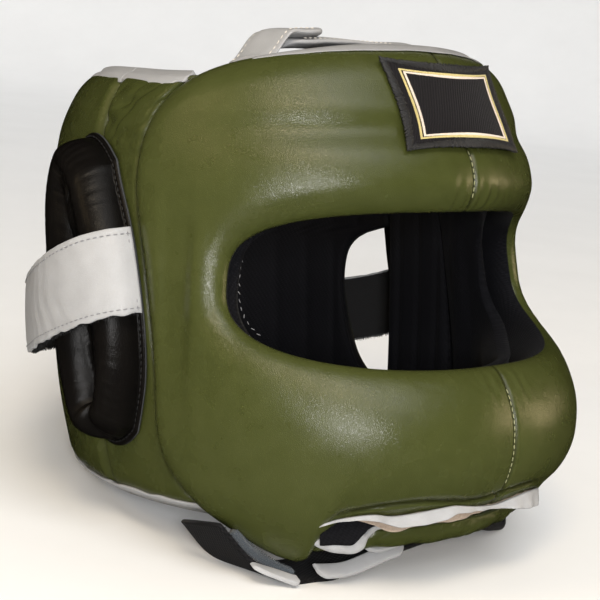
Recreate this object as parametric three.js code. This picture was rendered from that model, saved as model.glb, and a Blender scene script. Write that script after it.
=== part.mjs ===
import * as THREE from 'three';

// Full face sparring headgear, in millimetres.
// It is worked out in the worn frame: the wearer looks along -Y, their left is +X, Z is up.
// settle() then leans it back on to the surface that it rests on.

const rad = THREE.MathUtils.degToRad;
const { abs, atan2, cos, max, min, PI, pow, sin, sqrt } = Math;

const LEAN = rad(8.8);
const FLOOR_DROP = 10.4;
const CENTRE_Y = 26.48;
const GAP = 0.5;

const OLIVE = { color: 0x5c6230, roughness: 0.42, metalness: 0 };
const BLACK_LEATHER = { color: 0x171412, roughness: 0.4, metalness: 0 };
const WHITE_LEATHER = { color: 0xe4dfd9, roughness: 0.5, metalness: 0 };
const BLACK_MESH = { color: 0x141416, roughness: 0.9, metalness: 0 };
const BLACK_WEBBING = { color: 0x1b1a1c, roughness: 0.8, metalness: 0 };
const LOOP_TAPE = { color: 0x37414b, roughness: 0.95, metalness: 0 };
const PATCH_TWILL = { color: 0x17161a, roughness: 0.9, metalness: 0 };

// Outer leather of forehead, cheeks and bar at each height
const FACE_SECTIONS = [
  { z: 4, front: 104, side: 95, square: 2.1 },
  { z: 30, front: 121, side: 103, square: 2.2 },
  { z: 47, front: 126.5, side: 108, square: 2.25 },
  { z: 66, front: 128, side: 111, square: 2.25 },
  { z: 92, front: 124, side: 111, square: 2.2 },
  { z: 124, front: 113, side: 110.5, square: 2.05 },
  { z: 150, front: 105, side: 110, square: 1.92 },
  { z: 170, front: 104.5, side: 109, square: 1.9 },
  { z: 190, front: 98, side: 105.5, square: 1.9 },
  { z: 208, front: 89.5, side: 99, square: 1.92 },
  { z: 228, front: 81, side: 89, square: 1.95 },
];

// Outer leather of the side and rear panels at each height
const REAR_SECTIONS = [
  { z: 24, back: 130, side: 95 },
  { z: 60, back: 140, side: 101 },
  { z: 100, back: 146, side: 103.5 },
  { z: 150, back: 147, side: 103.5 },
  { z: 190, back: 142, side: 99 },
  { z: 206, back: 135, side: 94 },
  { z: 226, back: 119, side: 83 },
];
const REAR_SQUARE = 2.1;

// Rear edge of the face shell: half angle from the front at each height
const SHELL_EDGE = [
  { z: 10, half: 69 },
  { z: 27, half: 75 },
  { z: 50, half: 79.5 },
  { z: 86, half: 80.5 },
  { z: 135, half: 84.3 },
  { z: 173, half: 87.5 },
  { z: 209, half: 84.5 },
  { z: 228, half: 79 },
];

// Bottom edge of the face shell: level under the bar, then down round the jaw
const SHELL_BOTTOM = [
  { half: 0, z: 29 },
  { half: 22, z: 29.5 },
  { half: 36, z: 27.5 },
  { half: 42, z: 19 },
  { half: 48, z: 10 },
  { half: 55, z: 11 },
  { half: 64, z: 19 },
  { half: 75, z: 27 },
];

const SHELL = { wall: 18, midZ: 124, rimZ: 224.5, rimDip: 8, bottomHalf: 75 };
const CORNER = { power: 8, turn: rad(47) };

// The bar across the face is fatter: where that fades out upward, downward and sideways
const BAR = { extra: 11, fadeLow: 78, fadeHigh: 104, rollLow: 70, rollHigh: 110, footLow: 14, footHigh: 34 };
const BAR_SIDES = { from: 46, to: 72 };
const ROLL = { opening: 15, rim: 13, bar: 27 };
const EYE = { half: 62, up: 31, down: 33.5, upPower: 3.5, downPower: 2.5 };
const LINING = { wall: 8, rear: 5, gap: 1.1 };
const PANEL = { wall: 14, roll: 10 };

// Top and bottom edges of the side and rear panels, by half angle from the front
const PANEL_EDGES = [
  { half: 70, low: 29, high: 212 },
  { half: 90, low: 29, high: 214 },
  { half: 110, low: 29.5, high: 217 },
  { half: 130, low: 31, high: 219.5 },
  { half: 150, low: 31.2, high: 220 },
  { half: 180, low: 32.8, high: 220 },
];

// Slot behind each ear: the rear panel draws back from the side panel between two rounded ends
const SIDE_BACK = 108;
const SLOT_BACK = [
  { z: 24, half: 108.4 },
  { z: 56, half: 108.4 },
  { z: 59, half: 112.5 },
  { z: 65, half: 118 },
  { z: 78, half: 122.5 },
  { z: 108, half: 125 },
  { z: 126, half: 123.5 },
  { z: 136, half: 118.5 },
  { z: 141, half: 112.5 },
  { z: 144, half: 108.4 },
  { z: 226, half: 108.4 },
];

// Soft grooves pressed into the padding: where, how deep, how wide
const GROOVES = [
  { half: 0, reach: 58, z: 189, rise: 7, depth: 3.2 },
  { half: 73, reach: 4, z: 118, rise: 40, depth: 2.4 },
];

const EAR = { spine: 38.5, radius: 26.5, midZ: 122, behindEdge: 2.6, gap: 1.2, slide: 1.5 };
const EAR_ROLL = { height: 16, flange: 3, flangeWall: 1.8, channel: 5, channelHalf: 2 };

// Rear strap from the shell's edge round to the nape, in plan, with its height on each side
const REAR_STRAP = { half: 18, wall: 2.4, backing: 1.5, slant: 0.21, slantFrom: -5, slantTo: 40, steps: 40 };
const REAR_STRAP_ROUTE = [
  { x: 109, y: -8.8, right: 131, left: 131 },
  { x: 115.5, y: -7.2, right: 130.5, left: 129.5 },
  { x: 122.5, y: 0.8, right: 129, left: 126.5 },
  { x: 126, y: 14, right: 127, left: 122 },
  { x: 124.5, y: 31, right: 124, left: 114 },
  { x: 117, y: 50, right: 118, left: 103.5 },
  { x: 97, y: 85, right: 109, left: 95 },
  { x: 75.5, y: 116, right: 103, left: 94 },
  { x: 43, y: 141, right: 99, left: 95.5 },
  { x: 0, y: 150.5, right: 97.5, left: 97.5 },
];

const CROWN = { y: -34, half: 13, wall: 2.8, top: 227.4, span: 79, fall: 5.6, power: 3 };
const CROWN_LAP = { lift: 3.4, fade: 58 };
const CROWN_ENDS = { right: -30, left: -56 };
const BINDING = { height: 3, width: 5, rear: 6, lip: 4.4, cup: 3.4, inset: 1 };

// Stretches of the bindings on the face shell, in degrees round the eye opening
const RIM_TURNS = { from: 54, to: 126, steps: 12 };
const LIP_TURNS = { from: -114, to: -66, steps: 8 };

// Stretches of the bindings on the panels, as shares between a panel's two edges
const SIDE_RIM = { from: 0.2, to: 0.97, steps: 6 };
const SIDE_HEM = { from: 0.06, to: 0.97, steps: 6 };
const REAR_BOUND = { from: 0.015, to: 0.985, steps: 20 };

// Sling under the chin: a row from the bound rim, under the chin, to the back edge
const CUP_ROWS = [
  { row: 0, reach: 102, side: 98, z: 24, end: 34.6 },
  { row: 1, reach: 101.8, side: 98.2, z: 19.2, end: 38.7 },
  { row: 2, reach: 97.2, side: 94.8, z: 14.8, end: 42.4 },
  { row: 3, reach: 89, side: 88, z: 13.6, end: 43 },
  { row: 4, reach: 76, side: 78, z: 14.4, end: 41.6 },
];
const CUP = { wall: 4.5, square: 2, columns: 12, steps: 6, slope: 0.08 };
const CUP_LINING = { wall: 2, side: 0.04, rim: 0.06 };

// Webbing under the chin, one half, with the heading and tilt of its width
const STRAP = { half: 13, wall: 2.4, steps: 36 };
const TAPE = { thick: 3.4, from: 0.03, to: 0.165 };
const TRIM_STEPS = 8;
const TAB = { wall: 1.6, ahead: 6, clear: 0.4, foot: 0.2, rise: 2.6 };
const TABS = [
  { name: 'chin_tab_right', from: 0.105, to: 0.18 },
  { name: 'chin_tab_middle', from: 0.25, to: 0.42 },
];
const CHIN_ROUTE = [
  { x: 98, y: -35, z: 25, heading: 0, tilt: -15 },
  { x: 85.5, y: -40.5, z: 9, heading: 4, tilt: -11 },
  { x: 74, y: -50, z: 2.8, heading: 8, tilt: 0 },
  { x: 54, y: -58, z: 1.0, heading: 4, tilt: 0 },
  { x: 28, y: -64, z: 7.2, heading: 2, tilt: 0 },
  { x: 0, y: -66, z: 10.4, heading: 0, tilt: 0 },
];

const PATCH = { bottom: 181, top: 219, half: 36, pinch: 2.2, wall: 1.6 };

/** Smooth curve through one column of a table, level past its ends. */
function curveOf(rows, key, name) {
  const keys = rows.map((row) => row[key]);
  const values = rows.map((row) => row[name]);
  const last = keys.length - 1;
  const slopes = keys.map((k, i) => {
    const a = max(i - 1, 0);
    const b = min(i + 1, last);
    return (values[b] - values[a]) / (keys[b] - keys[a]);
  });
  return (k) => {
    if (k <= keys[0]) return values[0];
    if (k >= keys[last]) return values[last];
    const i = keys.findIndex((edge, j) => k >= edge && k < keys[j + 1]);
    const span = keys[i + 1] - keys[i];
    const t = (k - keys[i]) / span;
    const rest = 1 - t;
    return values[i] * (1 + 2 * t) * rest * rest + slopes[i] * span * t * rest * rest
      + values[i + 1] * t * t * (3 - 2 * t) - slopes[i + 1] * span * t * t * rest;
  };
}

const faceFront = curveOf(FACE_SECTIONS, 'z', 'front');
const faceSide = curveOf(FACE_SECTIONS, 'z', 'side');
const faceSquare = curveOf(FACE_SECTIONS, 'z', 'square');
const rearBack = curveOf(REAR_SECTIONS, 'z', 'back');
const rearSide = curveOf(REAR_SECTIONS, 'z', 'side');
const edgeHalf = curveOf(SHELL_EDGE, 'z', 'half');
const bottomZ = curveOf(SHELL_BOTTOM, 'half', 'z');
const slotBack = curveOf(SLOT_BACK, 'z', 'half');
const panelLow = curveOf(PANEL_EDGES, 'half', 'low');
const panelHigh = curveOf(PANEL_EDGES, 'half', 'high');

const ease = (from, to, v) => THREE.MathUtils.smoothstep(v, min(from, to), max(from, to));
const lerp = THREE.MathUtils.lerp;

/** Radius of a squared ellipse at an angle from its front. */
function squaredRadius(angle, front, side, power) {
  return pow(pow(abs(sin(angle)) / side, power) + pow(abs(cos(angle)) / front, power), -1 / power);
}

/** Point in the worn frame from its angle off the front, its radius and its height. */
function spot(angle, radius, z) {
  return new THREE.Vector3(radius * sin(angle), -radius * cos(angle), z);
}

/** Depth of the soft grooves at a place on the face shell. */
function grooveDepth(angle, z) {
  const half = abs(angle) * 180 / PI;
  return GROOVES.reduce((depth, groove) => {
    const across = (half - groove.half) / groove.reach;
    const along = (z - groove.z) / groove.rise;
    return depth + groove.depth * Math.exp(-pow(across, 4) - along * along);
  }, 0);
}

function faceRadius(angle, z) {
  return squaredRadius(angle, faceFront(z), faceSide(z), faceSquare(z)) - grooveDepth(angle, z);
}

function rearRadius(angle, z) {
  return squaredRadius(angle, rearBack(z), rearSide(z), REAR_SQUARE);
}

/** Padding of the face shell, thicker along the bar. */
function faceWall(angle, z) {
  const half = abs(angle) * 180 / PI;
  const middle = (1 - ease(BAR.fadeLow, BAR.fadeHigh, z)) * ease(BAR.footLow, BAR.footHigh, z);
  return SHELL.wall + BAR.extra * middle * (1 - ease(BAR_SIDES.from, BAR_SIDES.to, half));
}

/** Share of the full padding at a distance from a rolled edge. */
function rolled(distance, roll) {
  const x = min(distance / roll, 1);
  return sqrt(max(1 - (1 - x) * (1 - x), 0));
}

/** Outline of the eye opening at a turn round it, as angle and height. */
function eyeOutline(turn) {
  const power = sin(turn) >= 0 ? EYE.upPower : EYE.downPower;
  const reach = pow(pow(abs(cos(turn)), power) + pow(abs(sin(turn)), power), -1 / power);
  const rise = sin(turn) >= 0 ? EYE.up : EYE.down;
  return { angle: rad(EYE.half) * reach * cos(turn), z: SHELL.midZ + rise * reach * sin(turn) };
}

/** Outer outline of the face shell at the same turn. */
function shellOutline(turn) {
  const power = CORNER.power;
  const reach = pow(pow(abs(cos(turn)), power) + pow(abs(sin(turn)), power), -1 / power);
  const across = reach * cos(turn);
  const along = reach * sin(turn);
  const top = SHELL.rimZ - SHELL.rimDip * across * across;
  const end = along >= 0 ? top : bottomZ(abs(across) * SHELL.bottomHalf);
  const z = lerp(SHELL.midZ, end, abs(along));
  return { angle: rad(edgeHalf(z)) * across, z };
}

/** Angle of the face shell's rear edge at a height, found by halving. */
function rearEdgeAngle(z) {
  const halvings = 40;
  let low = -CORNER.turn;
  let high = CORNER.turn;
  for (let step = 0; step < halvings; step += 1) {
    const mid = (low + high) / 2;
    if (shellOutline(mid).z < z) low = mid;
    else high = mid;
  }
  return shellOutline((low + high) / 2).angle;
}

/** Leans a worn point back to rest, and flattens what would sink into the surface. */
function settle(point) {
  const y = point.y * cos(LEAN) + point.z * sin(LEAN) - CENTRE_Y;
  const z = point.z * cos(LEAN) - point.y * sin(LEAN) - FLOOR_DROP;
  return [point.x, y, max(z, 0)];
}

const X_AXIS = new THREE.Vector3(1, 0, 0);
const headgear = new THREE.Group();

/** Adds one closed piece from worn points and triangles, with its faces turned outward. */
function addPiece(name, points, triangles, finish) {
  const rest = points.map(settle);
  const volume = triangles.reduce((sum, [a, b, c]) => {
    const [p, q, r] = [rest[a], rest[b], rest[c]];
    return sum + p[0] * (q[1] * r[2] - q[2] * r[1]) - p[1] * (q[0] * r[2] - q[2] * r[0])
      + p[2] * (q[0] * r[1] - q[1] * r[0]);
  }, 0);
  const turned = volume < 0 ? triangles.map(([a, b, c]) => [a, c, b]) : triangles;
  const geometry = new THREE.BufferGeometry();
  geometry.setAttribute('position', new THREE.Float32BufferAttribute(rest.flat(), 3));
  geometry.setIndex(turned.flat());
  geometry.computeVertexNormals();
  const mesh = new THREE.Mesh(geometry, new THREE.MeshStandardMaterial(finish));
  mesh.name = name;
  headgear.add(mesh);
}

/** Two triangles of a four-sided cell. */
const cell = (a, b, c, d) => [[a, b, c], [a, c, d]];

/** Closed ring: a loop of points carried round a loop. */
function addRing(name, around, across, place, finish) {
  const points = [];
  const triangles = [];
  const at = (i, j) => (i % around) * across + (j % across);
  for (let i = 0; i < around; i += 1) {
    for (let j = 0; j < across; j += 1) {
      points.push(place(i, j));
      triangles.push(...cell(at(i, j), at(i + 1, j), at(i + 1, j + 1), at(i, j + 1)));
    }
  }
  addPiece(name, points, triangles, finish);
}

/** Closed bar: rings of points in order, with both ends fanned to their middles. */
function addRun(name, rings, finish) {
  const across = rings[0].length;
  const points = rings.flat();
  const triangles = [];
  for (let i = 0; i + 1 < rings.length; i += 1) {
    for (let j = 0; j < across; j += 1) {
      const k = (j + 1) % across;
      triangles.push(...cell(i * across + j, (i + 1) * across + j, (i + 1) * across + k, i * across + k));
    }
  }
  [[0, false], [rings.length - 1, true]].forEach(([end, far]) => {
    const middle = new THREE.Vector3();
    rings[end].forEach((point) => middle.addScaledVector(point, 1 / across));
    points.push(middle);
    for (let j = 0; j < across; j += 1) {
      const a = end * across + j;
      const b = end * across + (j + 1) % across;
      triangles.push(far ? [points.length - 1, b, a] : [points.length - 1, a, b]);
    }
  });
  addPiece(name, points, triangles, finish);
}

/** Closed pillow: an outer and an inner sheet that share their border. */
function addPillow(name, columns, rows, place, finish) {
  const points = [];
  const index = new Map();
  const at = (i, j, side) => {
    const border = i === 0 || j === 0 || i === columns || j === rows;
    const key = `${i} ${j} ${border ? 0 : side}`;
    if (!index.has(key)) {
      index.set(key, points.length);
      points.push(place(i / columns, j / rows, border ? 0 : side));
    }
    return index.get(key);
  };
  const triangles = [];
  [1, -1].forEach((side) => {
    for (let i = 0; i < columns; i += 1) {
      for (let j = 0; j < rows; j += 1) {
        const corners = [at(i, j, side), at(i + 1, j, side), at(i + 1, j + 1, side), at(i, j + 1, side)];
        triangles.push(...cell(...(side > 0 ? corners : corners.reverse())));
      }
    }
  });
  addPiece(name, points, triangles, finish);
}

/** Steps from 0 to 1, closer together at both ends. */
const crowded = (share) => (1 - cos(PI * share)) / 2;

/** Point of a padded layer of the face shell: side 1 outside, -1 inside, share from eye to rim. */
function facePoint(turn, share, side, depth, wall) {
  const eye = eyeOutline(turn);
  const rim = shellOutline(turn);
  const angle = lerp(eye.angle, rim.angle, share);
  const z = lerp(eye.z, rim.z, share);
  const outer = faceRadius(angle, z) - depth(angle, z);
  const thick = wall(angle, z);
  const across = (rim.angle - eye.angle) * outer;
  const span = Math.hypot(across, rim.z - eye.z);
  const half = abs(angle) * 180 / PI;
  const bar = (1 - ease(BAR.rollLow, BAR.rollHigh, z)) * (1 - ease(BAR_SIDES.from, BAR_SIDES.to, half));
  const fill = rolled(share * span, lerp(ROLL.opening, ROLL.bar, bar))
    * rolled((1 - share) * span, lerp(ROLL.rim, ROLL.bar, bar));
  return spot(angle, outer - thick / 2 + side * fill * thick / 2, z);
}

const FACE_AROUND = 60;
const FACE_STEPS = 7;
const LINING_STEPS = 3;

/** Ring of padding round the eye opening, at a depth below the outer leather. */
function addFaceLayer(name, innerSteps, depth, wall, finish) {
  const loop = FACE_STEPS + innerSteps;
  addRing(name, FACE_AROUND, loop, (i, j) => {
    const outside = j <= FACE_STEPS;
    const share = crowded(outside ? j / FACE_STEPS : (loop - j) / innerSteps);
    return facePoint(2 * PI * i / FACE_AROUND, share, outside ? 1 : -1, depth, wall);
  }, finish);
}

const liningDepth = (angle, z) => faceWall(angle, z) + LINING.gap;
addFaceLayer('face_shell', FACE_STEPS, () => 0, faceWall, OLIVE);
addFaceLayer('face_lining', LINING_STEPS, liningDepth, () => LINING.wall, BLACK_MESH);

/** Angles of a side panel's front and back edges at a height. */
const sideEdges = (z) => [rearEdgeAngle(z) + GAP / rearSide(z), rad(SIDE_BACK)];

/** Angles of the rear panel's right and left edges at a height, passing the nape. */
function rearEdges(z) {
  const back = rad(max(slotBack(z), SLOT_BACK[SLOT_BACK.length - 1].half));
  return [back, 2 * PI - back];
}

/** Place on a panel: u between its two edges, v from bottom to top. */
function panelPlace(edges, u, v) {
  const [near, far] = edges(SHELL.midZ);
  const half = 180 - abs(180 - lerp(near, far, u) * 180 / PI);
  const z = lerp(panelLow(half), panelHigh(half), v);
  const [from, to] = edges(z);
  return { angle: lerp(from, to, u), z, span: (to - from) * rearSide(z) };
}

/** Point of a panel's layer: hand -1 is the wearer's right. */
function panelPoint(edges, hand, u, v, side, depth, wall) {
  const { angle, z, span } = panelPlace(edges, u, v);
  const height = panelHigh(180) - panelLow(180);
  const edge = min(min(u, 1 - u) * span, min(v, 1 - v) * height);
  const middle = rearRadius(angle, z) - depth - wall / 2;
  return spot(hand * angle, middle + side * rolled(edge, PANEL.roll) * wall / 2, z);
}

const HANDS = [{ hand: -1, side: 'right' }, { hand: 1, side: 'left' }];
const PANEL_STEPS = [0, 0.02, 0.06, 0.18, 0.32, 0.44, 0.53, 0.57, 0.605, 0.7, 0.83, 0.94, 0.98, 1];
const PANEL_ROWS = PANEL_STEPS.length - 1;
const SIDE_COLUMNS = 6;
const REAR_COLUMNS = 16;
const REAR_CROWDING = 0.5;
const PANEL_LAYERS = [
  { kind: 'panel', depth: 0, wall: PANEL.wall, finish: OLIVE },
  { kind: 'lining', depth: PANEL.wall + LINING.gap, wall: LINING.rear, finish: BLACK_MESH },
];

PANEL_LAYERS.forEach(({ kind, depth, wall, finish }) => {
  const place = (edges, hand) => (u, v, face) => {
    const across = edges === sideEdges ? crowded(u) : lerp(u, crowded(u), REAR_CROWDING);
    return panelPoint(edges, hand, across, PANEL_STEPS[Math.round(v * PANEL_ROWS)], face, depth, wall);
  };
  HANDS.forEach(({ hand, side }) => {
    addPillow(`side_${kind}_${side}`, SIDE_COLUMNS, PANEL_ROWS, place(sideEdges, hand), finish);
  });
  addPillow(`rear_${kind}`, REAR_COLUMNS, PANEL_ROWS, place(rearEdges, 1), finish);
});

/** Height of an ear pad above its flange at a distance in from its edge. */
function earHeight(inset) {
  const { flange, height, channel, channelHalf } = EAR_ROLL;
  const half = (EAR.radius - flange - channelHalf) / 2;
  const along = (inset - flange - half) / half;
  const roll = height * sqrt(max(1 - along * along, 0));
  return max(roll, inset > flange + half ? channel : 0);
}

/** Ring of an ear pad's outline, drawn in by an inset and raised above the panel. */
function earRing(hand, inset, lift) {
  const steps = 20;
  return Array.from({ length: steps }, (_, i) => {
    const turn = 2 * PI * i / steps;
    const slide = THREE.MathUtils.clamp(EAR.slide * sin(turn), -1, 1) * EAR.spine;
    const z = EAR.midZ + slide + (EAR.radius - inset) * sin(turn);
    const behind = EAR.behindEdge + EAR.radius + (EAR.radius - inset) * cos(turn);
    const angle = rearEdgeAngle(z) + behind / rearSide(z);
    return spot(hand * angle, rearRadius(angle, z) + EAR.gap + lift, z);
  });
}

const EAR_INSETS = [0, 2.8, 4, 7.5, 13.5, 19.5, 23, 25];
const EAR_BASE_INSETS = [24, 12, 0];

HANDS.forEach(({ hand, side }) => {
  const base = EAR_BASE_INSETS.map((inset) => earRing(hand, inset, 0));
  const top = EAR_INSETS.map((inset) => earRing(hand, inset, EAR_ROLL.flangeWall + earHeight(inset)));
  addRun(`ear_pad_${side}`, [...base, ...top], BLACK_LEATHER);
});

/** Flat band along a route: offsets inward and outward, half width up and down. */
function bandRings(route, inner, outer, half) {
  const { steps, slant, slantFrom, slantTo } = REAR_STRAP;
  const curve = new THREE.CatmullRomCurve3(route);
  return Array.from({ length: steps + 1 }, (_, i) => {
    const middle = curve.getPointAt(i / steps);
    const along = curve.getTangentAt(i / steps).setZ(0).normalize();
    const out = new THREE.Vector3(along.y, -along.x, 0);
    const lean = slant * (1 - ease(slantFrom, slantTo, middle.y));
    return [[inner, -half], [outer, -half], [outer, half], [inner, half]].map(([off, rise]) => (
      middle.clone().addScaledVector(out, off).add(new THREE.Vector3(0, lean * rise, rise))));
  });
}

const strapLeft = REAR_STRAP_ROUTE.map(({ x, y, left }) => new THREE.Vector3(x, y, left));
const strapRight = REAR_STRAP_ROUTE.slice(0, -1).map(({ x, y, right }) => new THREE.Vector3(-x, y, right));
const strapRoute = [...strapLeft, ...strapRight.reverse()];
const { half: strapHalf, wall: strapWall, backing } = REAR_STRAP;
const strapOut = backing + GAP;
addRun('rear_strap_backing', bandRings(strapRoute, 0, backing, strapHalf - 1), BLACK_WEBBING);
addRun('rear_strap', bandRings(strapRoute, strapOut, strapOut + strapWall, strapHalf), WHITE_LEATHER);

/** Height of a crown strap's underside across the head. */
function crownHeight(x, lifted) {
  const base = CROWN.top - CROWN.fall * pow(abs(x) / CROWN.span, CROWN.power);
  return base + lifted * CROWN_LAP.lift * (1 - ease(CROWN_LAP.fade, CROWN.span, abs(x)));
}

/** Strap across the crown from one end to the other. */
function addCrownStrap(name, from, to, lifted) {
  const steps = 14;
  const rings = Array.from({ length: steps + 1 }, (_, i) => {
    const x = lerp(from, to, i / steps);
    const low = crownHeight(x, lifted);
    const high = low + CROWN.wall;
    return [[-CROWN.half, low], [CROWN.half, low], [CROWN.half, high], [-CROWN.half, high]]
      .map(([off, z]) => new THREE.Vector3(x, CROWN.y + off, z));
  });
  addRun(name, rings, WHITE_LEATHER);
}

addCrownStrap('crown_strap_right', -CROWN.span, CROWN_ENDS.right, 1);
addCrownStrap('crown_strap_left', CROWN.span, CROWN_ENDS.left, 0);

/** Oval binding along a run of middles. */
function bindingRings(middles, width, height) {
  const sides = 6;
  return middles.map(({ angle, radius, z }) => Array.from({ length: sides }, (_, i) => {
    const turn = 2 * PI * (i + 0.5) / sides;
    return spot(angle, radius + cos(turn) * width / 2, z + sin(turn) * height / 2);
  }));
}

/** Even steps along a stretch. */
const stepsOf = ({ from, to, steps }) => (
  Array.from({ length: steps + 1 }, (_, i) => lerp(from, to, i / steps)));

const rimMiddles = stepsOf(RIM_TURNS).map((turn) => {
  const { angle, z } = shellOutline(rad(turn));
  const radius = faceRadius(angle, z) - faceWall(angle, z) / 2 - BINDING.inset;
  return { angle, radius, z: z + GAP + BINDING.height / 2 };
});
addRun('rim_binding_front', bindingRings(rimMiddles, BINDING.width, BINDING.height), WHITE_LEATHER);

/** Middles of a binding along a panel's top or bottom edge. */
function panelBinding(edges, hand, v, stretch) {
  const step = v > 0 ? 1 : -1;
  return stepsOf(stretch).map((u) => {
    const { angle, z } = panelPlace(edges, u, v);
    const radius = rearRadius(angle, z) - PANEL.wall / 2;
    return { angle: hand * angle, radius, z: z + step * (GAP + BINDING.height / 2) };
  });
}

HANDS.forEach(({ hand, side }) => {
  const top = bindingRings(panelBinding(sideEdges, hand, 1, SIDE_RIM), BINDING.rear, BINDING.height);
  const low = bindingRings(panelBinding(sideEdges, hand, 0, SIDE_HEM), BINDING.rear, BINDING.height);
  addRun(`side_rim_binding_${side}`, top, WHITE_LEATHER);
  addRun(`side_hem_binding_${side}`, low, WHITE_LEATHER);
});
const rearTop = panelBinding(rearEdges, 1, 1, REAR_BOUND);
const rearLow = panelBinding(rearEdges, 1, 0, REAR_BOUND);
addRun('rear_rim_binding', bindingRings(rearTop, BINDING.rear, BINDING.height), WHITE_LEATHER);
addRun('nape_binding', bindingRings(rearLow, BINDING.rear, BINDING.height), WHITE_LEATHER);

const lipMiddles = stepsOf(LIP_TURNS).map((turn) => {
  const { angle, z } = shellOutline(rad(turn));
  const radius = faceRadius(angle, z) - faceWall(angle, z) / 2 - BINDING.inset;
  return { angle, radius, z: z - GAP - BINDING.lip / 2 };
});
addRun('bar_binding', bindingRings(lipMiddles, BINDING.width, BINDING.lip), WHITE_LEATHER);

const cupReach = curveOf(CUP_ROWS, 'row', 'reach');
const cupSide = curveOf(CUP_ROWS, 'row', 'side');
const cupZ = curveOf(CUP_ROWS, 'row', 'z');
const cupEnd = curveOf(CUP_ROWS, 'row', 'end');

/** Point of the chin sling: u across the chin, v from its bound rim to its back edge. */
function slingPoint(u, v, side, under, wall) {
  const row = v * (CUP_ROWS.length - 1);
  const angle = rad(cupEnd(row)) * (2 * u - 1);
  const radius = squaredRadius(angle, cupReach(row), cupSide(row), CUP.square);
  const down = cupZ(row + CUP.slope) - cupZ(row - CUP.slope);
  const back = cupReach(row - CUP.slope) - cupReach(row + CUP.slope);
  const length = Math.hypot(down, back);
  const lift = under + (side - 1) * wall / 2;
  return spot(angle, radius - lift * down / length, cupZ(row) - lift * back / length);
}

/** Point of the leather of the chin sling. */
const cupPoint = (u, v, side) => slingPoint(u, v, side, 0, CUP.wall);

/** Point of the mesh inside the chin sling, drawn in from its ends and its bound rim. */
function cupLiningPoint(u, v, side) {
  const { wall, side: end, rim } = CUP_LINING;
  return slingPoint(lerp(end, 1 - end, u), lerp(rim, 1, v), side, -CUP.wall - LINING.gap, wall);
}

addPillow('chin_cup', CUP.columns, CUP.steps, cupPoint, OLIVE);
addPillow('chin_lining', CUP.columns, CUP.steps, cupLiningPoint, BLACK_MESH);

const CUP_BOUND = { from: 1 / CUP.columns, to: 1 - 1 / CUP.columns, steps: CUP.columns - 2 };
const cupRim = stepsOf(CUP_BOUND).map((u) => {
  const point = cupPoint(u, 0, 0);
  const radius = Math.hypot(point.x, point.y);
  return { angle: atan2(point.x, -point.y), radius, z: point.z + GAP + BINDING.cup / 2 };
});
addRun('chin_cup_binding', bindingRings(cupRim, BINDING.width, BINDING.cup), WHITE_LEATHER);

const chinRight = CHIN_ROUTE.map(({ x, y, z }) => new THREE.Vector3(-x, y, z));
const chinLeft = CHIN_ROUTE.slice(0, -1).reverse().map(({ x, y, z }) => new THREE.Vector3(x, y, z));
const chinCurve = new THREE.CatmullRomCurve3([...chinRight, ...chinLeft]);
const chinRows = [...CHIN_ROUTE].reverse();
const chinHeading = curveOf(chinRows, 'x', 'heading');
const chinTilt = curveOf(chinRows, 'x', 'tilt');

/** Section of the chin strap at a share of its route: corners from front to back, under to over. */
function strapSection(share, corners) {
  const middle = chinCurve.getPointAt(share);
  const along = chinCurve.getTangentAt(share);
  const heading = rad(chinHeading(abs(middle.x))) * Math.sign(middle.x);
  const tilt = rad(chinTilt(abs(middle.x)));
  const width = new THREE.Vector3(sin(heading), cos(heading), sin(tilt)).normalize();
  width.applyAxisAngle(X_AXIS, LEAN);
  const up = new THREE.Vector3().crossVectors(along, width).normalize();
  return corners.map(([across, over]) => (
    middle.clone().addScaledVector(width, across).addScaledVector(up, over)));
}

/** Band of the chin strap between two shares of its route. */
function addStrapBand(name, stretch, corners, finish) {
  addRun(name, stepsOf(stretch).map((share) => strapSection(share, corners)), finish);
}

const boxCorners = (front, back, under, over) => [[front, under], [back, under], [back, over], [front, over]];
const { half: webHalf, wall: webWall, steps: webSteps } = STRAP;
const tapeLow = webWall + GAP;
const webCorners = boxCorners(-webHalf, webHalf, 0, webWall);
const tapeCorners = boxCorners(-webHalf, TAPE.thick - webHalf, tapeLow, tapeLow + TAPE.thick);
addStrapBand('chin_strap', { from: 0, to: 1, steps: webSteps }, webCorners, BLACK_WEBBING);
addStrapBand('chin_strap_tape', { from: TAPE.from, to: TAPE.to, steps: TRIM_STEPS }, tapeCorners, LOOP_TAPE);

const tabFoot = -webHalf - TAB.ahead;
const tabHead = -webHalf - TAB.clear;
const tabCorners = [
  [tabFoot, TAB.foot],
  [tabHead, TAB.rise],
  [tabHead, TAB.rise + TAB.wall],
  [tabFoot, TAB.foot + TAB.wall],
];
TABS.forEach(({ name, from, to }) => {
  addStrapBand(name, { from, to, steps: TRIM_STEPS }, tabCorners, WHITE_LEATHER);
});

const PATCH_COLUMNS = 8;
const PATCH_ROWS = 4;

/** Point of a layer on the forehead: x and z shares from -1 to 1 of the patch's outline. */
function patchPoint(across, up, lift) {
  const middle = (PATCH.top + PATCH.bottom) / 2;
  const z = middle + up * ((PATCH.top - PATCH.bottom) / 2 - PATCH.pinch * (1 - across * across));
  const x = across * (PATCH.half - PATCH.pinch * (1 - up * up));
  const angle = atan2(x, faceFront(z));
  const outer = faceRadius(angle, z) + grooveDepth(angle, z);
  return spot(angle, outer + lift, z);
}

addPillow('forehead_patch', PATCH_COLUMNS, PATCH_ROWS, (u, v, side) => (
  patchPoint(2 * u - 1, 2 * v - 1, GAP + PATCH.wall * (side + 1) / 2)), PATCH_TWILL);

export default headgear;
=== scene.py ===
"""Full face sparring headgear: its leather, lining, straps and stitching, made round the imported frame."""

import logging
import math
from dataclasses import dataclass, field
from enum import Enum
from typing import Callable, NamedTuple, Optional, Sequence

import bpy
import numpy as np
from mathutils import Matrix, Vector


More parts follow.
